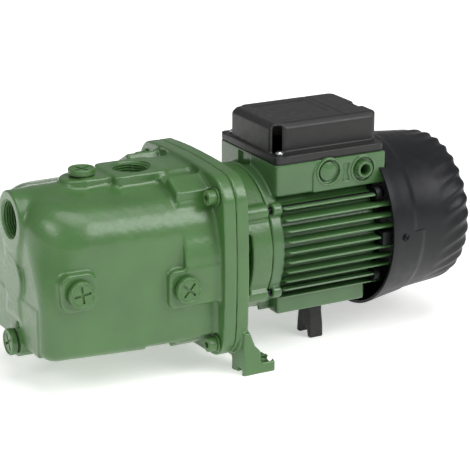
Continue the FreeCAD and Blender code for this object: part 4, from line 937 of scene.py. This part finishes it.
@dataclass
class MotorCasing:
    """Die cast motor casing: collar, level fins, rails, fins below and the lower half of the terminal box."""

    fin_heights: tuple[float, ...] = tuple(54.0 + 9.4 * i for i in range(10))
    fin_tip_r: float = 73.0
    tube_r: float = 62.0
    tube_end: float = 124.0
    collar_r: float = 66.7
    bore_r: float = 58.1
    rod_hole_r: float = 3.2
    fin_start: float = 28.0
    fin_end: float = 138.0
    cell: Point = (1.3, 0.85, 0.85)

    def fins(self, mould: Mould) -> None:
        """Form the level fins on both sides, thicker at the root than at the tip."""
        reach = np.sqrt(mould.y ** 2 + (mould.z - SHAFT_Z) ** 2)
        length = abs(mould.x - (self.fin_start + self.fin_end) / 2) - (self.fin_end - self.fin_start) / 2
        tip = reach - self.fin_tip_r
        for height in self.fin_heights:
            thick = 1.15 + 0.045 * np.clip(self.fin_tip_r - reach, 0, 14)
            side = abs(mould.z - height) - thick
            outer = Mould.edged([length, tip], 3.5)
            mould.add(Mould.edged([outer, side], 1.0), 1.5)

    def under(self, mould: Mould) -> None:
        """Form the two rails and the upright fins between them."""
        for i in range(-3, 4):
            mould.add(mould.block((18, i * 11 - 1.4, 37), (121, i * 11 + 1.4, 60), 1.2), 1.5)
        for side in (-1, 1):
            start, end = sorted((side * 34, side * 50))
            rail = mould.block((28, start, 36), (121, end, 54), 3)
            mould.add(rail, 2)

    def box(self, mould: Mould) -> None:
        """Form the lower half of the terminal box with the raised panel for its cable entries."""
        wall = mould.pillow((25, -BOX_HALF_W, 147.3), (137, BOX_HALF_W, 176.1), 4, 0.8, 2)
        wall = np.maximum(wall, np.where(mould.x > self.tube_end, 163 - mould.z, -FAR))
        mould.add(wall, 1.5)
        arch = [(62, 147.3), (62, 162), (63.5, 168), (66.5, 172.5), (71, 175.3), (76, 176), (137, 176),
                (137, 147.3)]
        mould.add(mould.plate("y", arch, PANEL_Y, -50, 0.6), 0.3)
        mould.carve(mould.block((20, -5, 154), (27.5, 16, 174.5), 1), 1)
        mould.add(mould.rod("y", (25.5, 155), 2.6, -7.5, -3, 0.8), 1)
        mould.carve(mould.block((30, -48.8, 166), (133, 48.8, 190), 3))
        tie = [(92.6, 154), (99.6, 154), (97.6, 162), (99.6, 170), (92.6, 170), (94.6, 162)]
        mould.carve(mould.plate("y", tie, -60, -52.6, 0.4), 0.6)

    def entries(self, casting: bpy.types.Object) -> None:
        """Machine the two cable entries: one blind, one with its boss."""
        blind = (BLIND_ENTRY[0], PANEL_Y, BLIND_ENTRY[1])
        cable = (CABLE_ENTRY[0], PANEL_Y, CABLE_ENTRY[1])
        rim = [(-3.4, 10.6), (-3.4, 12.8), (0.7, 12.8), (1.0, 12.4), (1.0, 11.4), (0.7, 10.6)]
        dish = [(-2.6, 0), (-2.6, 10.2), (-2.1, 10.9), (2, 11.3), (2, 0)]
        for at in (blind, cable):
            work_on(casting, turned("entry_rim", rim, at, Way.NEAR, 72), Cut.ONTO)
            work_on(casting, turned("entry_dish", dish, at, Way.NEAR, 72), Cut.AWAY)
        boss = rounded_outline([(-4, 0), (-4, 8.2), (4.6, 7.6), (4.6, 0)], 1.0)
        work_on(casting, turned("entry_boss", boss, cable, Way.NEAR, 72), Cut.ONTO)
        bore = [(-16, 0), (-16, 5.2), (4.2, 5.2), (5, 5.9), (5, 0)]
        work_on(casting, turned("entry_bore", bore, cable, Way.NEAR, 64), Cut.AWAY)

    def build(self) -> None:
        """Make the casing and dress it."""
        mould = Mould((11, -77, 31), (141, 77, 180), self.cell)
        self.fins(mould)
        mould.carve(mould.bar(63.5, self.tube_end, 140, 0.5))
        mould.add(mould.bar(self.tube_r, 15, self.tube_end, 0.8))
        self.under(mould)
        mould.add(mould.bar(self.collar_r, 15.3, 27, 1.2), 1.5)
        for y, z in RODS:
            mould.add(mould.rod("x", (y, z), 6.0, 18, 27, 1.0), 1.5)
        self.box(mould)
        for y, z in RODS:
            mould.carve(mould.rod("x", (y, z), 7.5, 123, 140, 0.5))
        mould.carve(mould.block((123.5, -80, SHAFT_Z - 7), (140, 80, SHAFT_Z + 7), 0.5))
        casting = mould.turn_out("motor_casing_casting")
        drill(casting, (14, 0, SHAFT_Z), Way.RIGHT, self.bore_r, -2, 112, 128)
        self.entries(casting)
        for y, z in RODS:
            drill(casting, (10, y, z), Way.RIGHT, self.rod_hole_r, 0, 125)
        dress(casting, DIE_CAST_ENAMEL, "motor_casing", angle=45)
        blank = rounded_outline([(0, 0), (2.4, 0), (2.1, 3), (1.3, 6), (0.5, 8.6), (0, 8.8)], 0.4)
        disc = turned("entry_blank", blank, (BLIND_ENTRY[0], -53.4, BLIND_ENTRY[1]), Way.NEAR, 72)
        dress(disc, DIE_CAST_ENAMEL, "blanking_disc", angle=30)


@dataclass
class TerminalLid:
    """Moulded lid of the terminal box with screw channels, on its gasket."""

    cell: float = 0.7
    left_x: float = 27.9
    half_w: float = 40.1
    top_z: float = 209.8
    bevel: float = 4.5
    slope: float = 0.7071

    def build(self) -> None:
        """Make the lid, its gasket and its screws, and dress them."""
        mould = Mould((22, -56, 174), (140, 56, 213), self.cell)
        mould.add(mould.pillow((25, -BOX_HALF_W, 177.1), (137, BOX_HALF_W, 183.8), 5, 1.4, 0.6))
        crown = mould.pillow((self.left_x, -self.half_w, 178), (137, self.half_w, self.top_z), 7, 2.6, 0.5)
        near = (mould.z - self.top_z) + (-self.half_w + self.bevel - mould.y)
        left = (mould.z - self.top_z) + (self.left_x + self.bevel - mould.x)
        crown = Mould.edged([crown, near * self.slope, left * self.slope], 1.2)
        mould.add(crown, 1.5)
        for side in (-1, 1):
            mould.carve(mould.rod("z", (33.2, side * 43.6), 8.2, 184, 230, 1.5), 2.5)
        mould.carve(mould.block((105.4, -60, 209.2), (106.4, 60, 215), 0.2), 0.4)
        mould.carve(mould.block((129, -16, 207.4), (140, 2, 215), 0.8), 0.6)
        mould.carve(mould.pillow((44, -20, 209.4), (99, 28, 215), 2, 0.1, 0.1), 0.3)
        mould.carve(mould.block((30.4, -37.6, 170), (134.4, 37.6, 207.3), 2))
        lid = mould.turn_out("box_lid")
        dress(lid, LID_PLASTIC, "terminal_box_lid", angle=40)
        self.gasket()
        self.screws()

    def gasket(self) -> None:
        """Make the thin sealing frame under the lid."""
        mould = Mould((23, -55, 174.5), (139, 55, 179), 0.6)
        mould.add(mould.pillow((25.3, -52.5, 176.1), (136.7, 52.5, 177.1), 5, 0.3, 0.3))
        mould.carve(mould.block((29.5, -48.5, 170), (132.5, 48.5, 190), 2))
        dress(mould.turn_out("lid_seal"), RUBBER, "lid_gasket", angle=40)

    def screws(self) -> None:
        """Make the two bright screws that stand in the lid's channels."""
        both: bpy.types.Object | None = None
        for side in (-1, 1):
            at = (34.0, side * 43.0, 183.8)
            corners = [(-12, 0), (-12, 2), (0, 2), (0, 3.9), (1.3, 3.7), (2.4, 2.4), (2.7, 0)]
            head = rounded_outline(corners, 0.4)
            screw = turned("lid_screws_bright", head, at, Way.UP, 40)
            arm = [(-2.6, -0.4), (2.6, -0.4), (2.6, 0.4), (-2.6, 0.4)]
            for arm in (arm, [(up, across) for across, up in arm]):
                work_on(screw, prism("driver", arm, (at[0], at[1], at[2] + 1.4), Way.UP, 3), Cut.AWAY)
            both = joined(both, screw)
        dress(both, ZINC_PLATE, "lid_screws", angle=30)


@dataclass
class FanCover:
    """Moulded fan cover: stepped skirt, swept ribs over the shoulder, slotted end."""

    ribs: int = 30
    spans: int = 720
    wall: float = 2.5
    inner_end_x: float = 233.2
    rib_start: float = 58.0
    rib_run_in: float = 34.0
    rib_depth: float = 2.3
    rib_twist: float = 0.0060
    step_depth: float = 0.9
    slot_low_r: float = 27.0
    slot_reach: float = 33.0
    slot_sweep: float = 0.0078
    slot_half: float = 1.5
    screw_x: float = 145.0
    screw_seat_r: float = 81.2
    screw_turns: tuple[float, ...] = (90, 200, 270, 340)
    skin: tuple[tuple[float, float], ...] = (
        (131.0, 82.6), (136, 82.0), (145, 80.3), (152, 79.2), (159, 78.1), (166, 77.1), (173, 76.2),
        (180, 75.5), (188, 74.8), (195, 74.3), (202, 73.8), (207, 73.4), (211, 73.0), (215, 72.2),
        (218, 71.2), (221, 69.6), (223.5, 66.8), (225.2, 63.4), (226.6, 60.0), (228.6, 56.0), (230.6, 52.5),
        (232.2, 48.5), (233.6, 44.0), (234.6, 40.0), (235.3, 36.0), (235.8, 30.0), (236.0, 22.0),
        (236.1, 12.0))

    def offset(self, x: float, r: float, angle: float, run: float) -> float:
        """How far the ribs and the skirt's step move the skin inwards at one point.

        Args:
            x: place along the shaft.
            r: radius of the plain skin.
            angle: place round the shaft, in radians, from straight up towards the far side.
            run: distance along the profile from the skirt's rim.

        Returns:
            The inward distance in millimetres.
        """
        grow = min(1.0, max(0.0, (run - self.rib_start) / self.rib_run_in))
        fade = min(1.0, max(0.0, (r - 24) / 14))
        phase = self.ribs * (angle + self.rib_twist * (run - self.rib_start)) / (2 * math.pi) % 1.0
        scoop = 0.5 - 0.5 * math.cos(2 * math.pi * phase ** 0.75)
        edge_x = 157.0 if math.cos(angle) > 0.05 else 167.0
        step = self.step_depth / (1 + math.exp(-(x - edge_x) * 1.6))
        return self.rib_depth * grow * fade * scoop + step

    def shell(self) -> bpy.types.Object:
        """Make the closed shell of the cover from its profile."""
        dense: list[tuple[float, float, float]] = []
        run = 0.0
        for (x0, r0), (x1, r1) in zip(self.skin, self.skin[1:]):
            length = math.hypot(x1 - x0, r1 - r0)
            steps = max(1, int(length / 1.6))
            for i in range(steps):
                t = i / steps
                dense.append((x0 + (x1 - x0) * t, r0 + (r1 - r0) * t, run + length * t))
            run += length
        dense.append((*self.skin[-1], run))
        rows: list[list[Point]] = []
        for x, r, at in dense:
            row = []
            for k in range(self.spans):
                angle = 2 * math.pi * k / self.spans
                r_in = r - self.offset(x, r, angle, at)
                share = min(1.0, max(0.0, (x - 218) / 14))
                row.append((x - share * (r - r_in), r - (1 - share * 0.6) * (r - r_in), angle))
            rows.append(row)
        inner = [(x - (self.wall if r < 66 else 0.6 * self.wall if r < 73 else 0), r - self.wall, 0.0)
                 for x, r, _ in dense[::4]]
        for x, r, _ in reversed(inner):
            place = (min(x, self.inner_end_x), max(r, 0.5))
            rows.append([(*place, 2 * math.pi * k / self.spans) for k in range(self.spans)])
        points: list[Point] = []
        for row in rows:
            points += [(x, -r * math.sin(a), SHAFT_Z + r * math.cos(a)) for x, r, a in row]
        faces = []
        outer_rows = len(dense)
        total = len(rows)
        for i in range(total):
            if i == outer_rows - 1:
                continue
            n = (i + 1) % total
            for k in range(self.spans):
                m = (k + 1) % self.spans
                faces.append([i * self.spans + k, i * self.spans + m, n * self.spans + m, n * self.spans + k])
        tip = len(points)
        points.append((self.skin[-1][0], 0, SHAFT_Z))
        points.append((self.inner_end_x, 0, SHAFT_Z))
        last, first_in = (outer_rows - 1) * self.spans, outer_rows * self.spans
        for k in range(self.spans):
            m = (k + 1) % self.spans
            faces.append([last + k, last + m, tip])
            faces.append([first_in + m, first_in + k, tip + 1])
        return make_object("fan_cover_shell", points, faces)

    def slots(self, cover: bpy.types.Object) -> None:
        """Cut the swept air slots through the end."""
        tools: bpy.types.Object | None = None
        for i in range(self.ribs):
            start = 2 * math.pi * i / self.ribs + 0.02
            line = []
            for step in range(7):
                r = self.slot_low_r + self.slot_reach * step / 6
                line.append((r, start + 0.34 - self.slot_sweep * (r - self.slot_low_r)))
            half = self.slot_half
            left, right = [[(r * math.cos(a) - side * math.sin(a), r * math.sin(a) + side * math.cos(a))
                            for r, a in line] for side in (half, -half)]
            tools = joined(tools, prism("slot_tool", left + right[::-1], (219, 0, SHAFT_Z), Way.RIGHT, 30))
        work_on(cover, tools, Cut.AWAY)

    def build(self) -> None:
        """Make the cover and its screws, and dress them."""
        cover = self.shell()
        self.slots(cover)
        notch = Mould((126, -58, 143), (141, 58, 190), 0.8)
        notch.add(notch.block((110, -55, 145.4), (139, 55, 230), 3.5))
        notch.depth = np.maximum(notch.depth, -(notch.x - 127.5))
        notch.depth = np.maximum(notch.depth, notch.z - 188.5)
        work_on(cover, notch.turn_out("notch_tool"), Cut.AWAY)
        heads: bpy.types.Object | None = None
        for degrees in self.screw_turns:
            heads = joined(heads, self.screw(math.radians(degrees)))
        dress(cover, COVER_PLASTIC, "fan_cover", angle=40)
        dress(heads, BLACK_STEEL, "fan_cover_screws", angle=30)

    def screw(self, angle: float) -> bpy.types.Object:
        """Make the cover screw that stands at an angle round the shaft, in radians from straight up."""
        corners = [(-13.5, 0), (-13.5, 2.4), (0, 2.4), (0, 3.5), (0.8, 3.2), (1.6, 2.0), (1.8, 0)]
        profile = rounded_outline(corners, 0.3)
        piece = turned("cover_screws_bright", profile, (0, 0, 0), Way.UP, 36)
        arm = [(-2.2, -0.4), (2.2, -0.4), (2.2, 0.4), (-2.2, 0.4)]
        work_on(piece, prism("driver", arm, (0, 0, 0.9), Way.UP, 3), Cut.AWAY)
        turn = Matrix.Rotation(angle, 4, "X")
        lift = Matrix.Translation(Vector((self.screw_x, 0, SHAFT_Z)) * MM)
        piece.data.transform(lift @ turn @ Matrix.Translation(Vector((0, 0, self.screw_seat_r)) * MM))
        return piece


@dataclass
class SupportLeg:
    """Moulded rubber leg under the motor, with an arch between its two feet."""

    def build(self) -> None:
        """Make the leg and dress it."""
        mould = Mould((69, -39, -3), (90, -5, 40), 0.6)
        profile = [(-34.5, 0), (-29.5, 0), (-28, 6), (-26, 9), (-18, 9), (-16, 6), (-14.5, 0), (-9.5, 0),
                   (-10.5, 12), (-12.5, 24), (-12, 36), (-32, 36), (-31.5, 24), (-33.8, 12)]
        mould.add(mould.plate("x", profile, 72.5, 86.5, 1.4))
        mould.carve(mould.rod("z", (79.5, -22), 2.1, -10, 60, 0.2))
        dress(mould.turn_out("rear_leg"), RUBBER, "support_leg", angle=45)


class Internals:
    """CAD nodes that keep their own shape and only take a finish."""

    def build(self) -> None:
        """Give each node that isn't stood for the finish of its slot."""
        for name, piece in frame["nodes"].items():
            finish = NODE_FINISHES.get(name, SLOT_FINISHES[NODE_SLOTS[name]])
            piece.data.materials.clear()
            piece.data.materials.append(finish.material())
            LOG.info("%s takes %s", name, finish.name)


# ---- studio

@dataclass
class Studio:
    """Pale floor, soft lights and the camera."""

    target: Point = (0.0125, 0.0, 0.0998)
    distance: float = 1.6883
    azimuth: float = -28.2
    elevation: float = 18.27
    lens: float = 142.46
    room_light: float = 0.30
    floor_half: float = 6000.0
    # Each light: name, direction, height, spread and strength, as light() takes them.
    lamps: tuple[tuple[str, float, float, float, float], ...] = (
        ("key_light", 36, 36, 34, 1.5), ("top_light", 10, 76, 40, 1.1), ("left_light", -66, 38, 24, 0.7))

    def floor(self) -> None:
        """Lay the pale floor."""
        half = self.floor_half
        corners = [(-half, -half, 0), (half, -half, 0), (half, half, 0), (-half, half, 0)]
        floor = make_object("studio_floor", corners, [[0, 1, 2, 3]])
        floor.data.materials.append(FLOOR_ACRYLIC.material())

    def light(self, name: str, azimuth: float, elevation: float, spread: float, power: float) -> None:
        """Hang one wide, soft and distant light.

        Args:
            name: name of the light.
            azimuth: its direction about the pump in degrees, from -Y towards +X.
            elevation: its height in degrees.
            spread: its width as seen from the pump, in degrees.
            power: its strength in watts for each square metre.
        """
        lamp = bpy.data.lights.new(name, "SUN")
        lamp.angle = math.radians(spread)
        lamp.energy = power
        holder = bpy.data.objects.new(name, lamp)
        bpy.context.scene.collection.objects.link(holder)
        a, e = math.radians(azimuth), math.radians(elevation)
        toward = Vector((math.sin(a) * math.cos(e), -math.cos(a) * math.cos(e), math.sin(e)))
        holder.rotation_euler = toward.to_track_quat("Z", "Y").to_euler()

    def world(self) -> None:
        """Fill the room with even white light."""
        world = bpy.data.worlds.new("studio_room")
        world.use_nodes = True
        background = world.node_tree.nodes["Background"].inputs
        background["Color"].default_value = (1, 1, 1, 1)
        background["Strength"].default_value = self.room_light
        bpy.context.scene.world = world

    def camera(self) -> None:
        """Stand the camera at the viewing angle."""
        a, e = math.radians(self.azimuth), math.radians(self.elevation)
        back = Vector((math.sin(a) * math.cos(e), -math.cos(a) * math.cos(e), math.sin(e)))
        data = bpy.data.cameras.new("studio_camera")
        data.lens = self.lens
        data.sensor_width = 36
        data.clip_end = 50
        camera = bpy.data.objects.new("studio_camera", data)
        bpy.context.scene.collection.objects.link(camera)
        camera.location = Vector(self.target) + back * self.distance
        camera.rotation_euler = (-back).to_track_quat("-Z", "Y").to_euler()
        bpy.context.scene.camera = camera

    def build(self) -> None:
        """Set up the studio."""
        self.floor()
        self.world()
        for lamp in self.lamps:
            self.light(*lamp)
        self.camera()
        bpy.context.scene.view_settings.view_transform = "Standard"


def main() -> None:
    """Build every piece in order and dress what the CAD keeps."""
    logging.basicConfig(level=logging.INFO, format="%(name)s: %(message)s")
    Internals().build()
    PumpBody().build()
    for name, seat, way, turn, _ in PLUGS:
        Plug(name, seat, way, turn).build()
    MotorBracket().build()
    FlangeScrews().build()
    MotorCasing().build()
    TerminalLid().build()
    FanCover().build()
    SupportLeg().build()
    Studio().build()


if __name__ == "__main__":
    main()
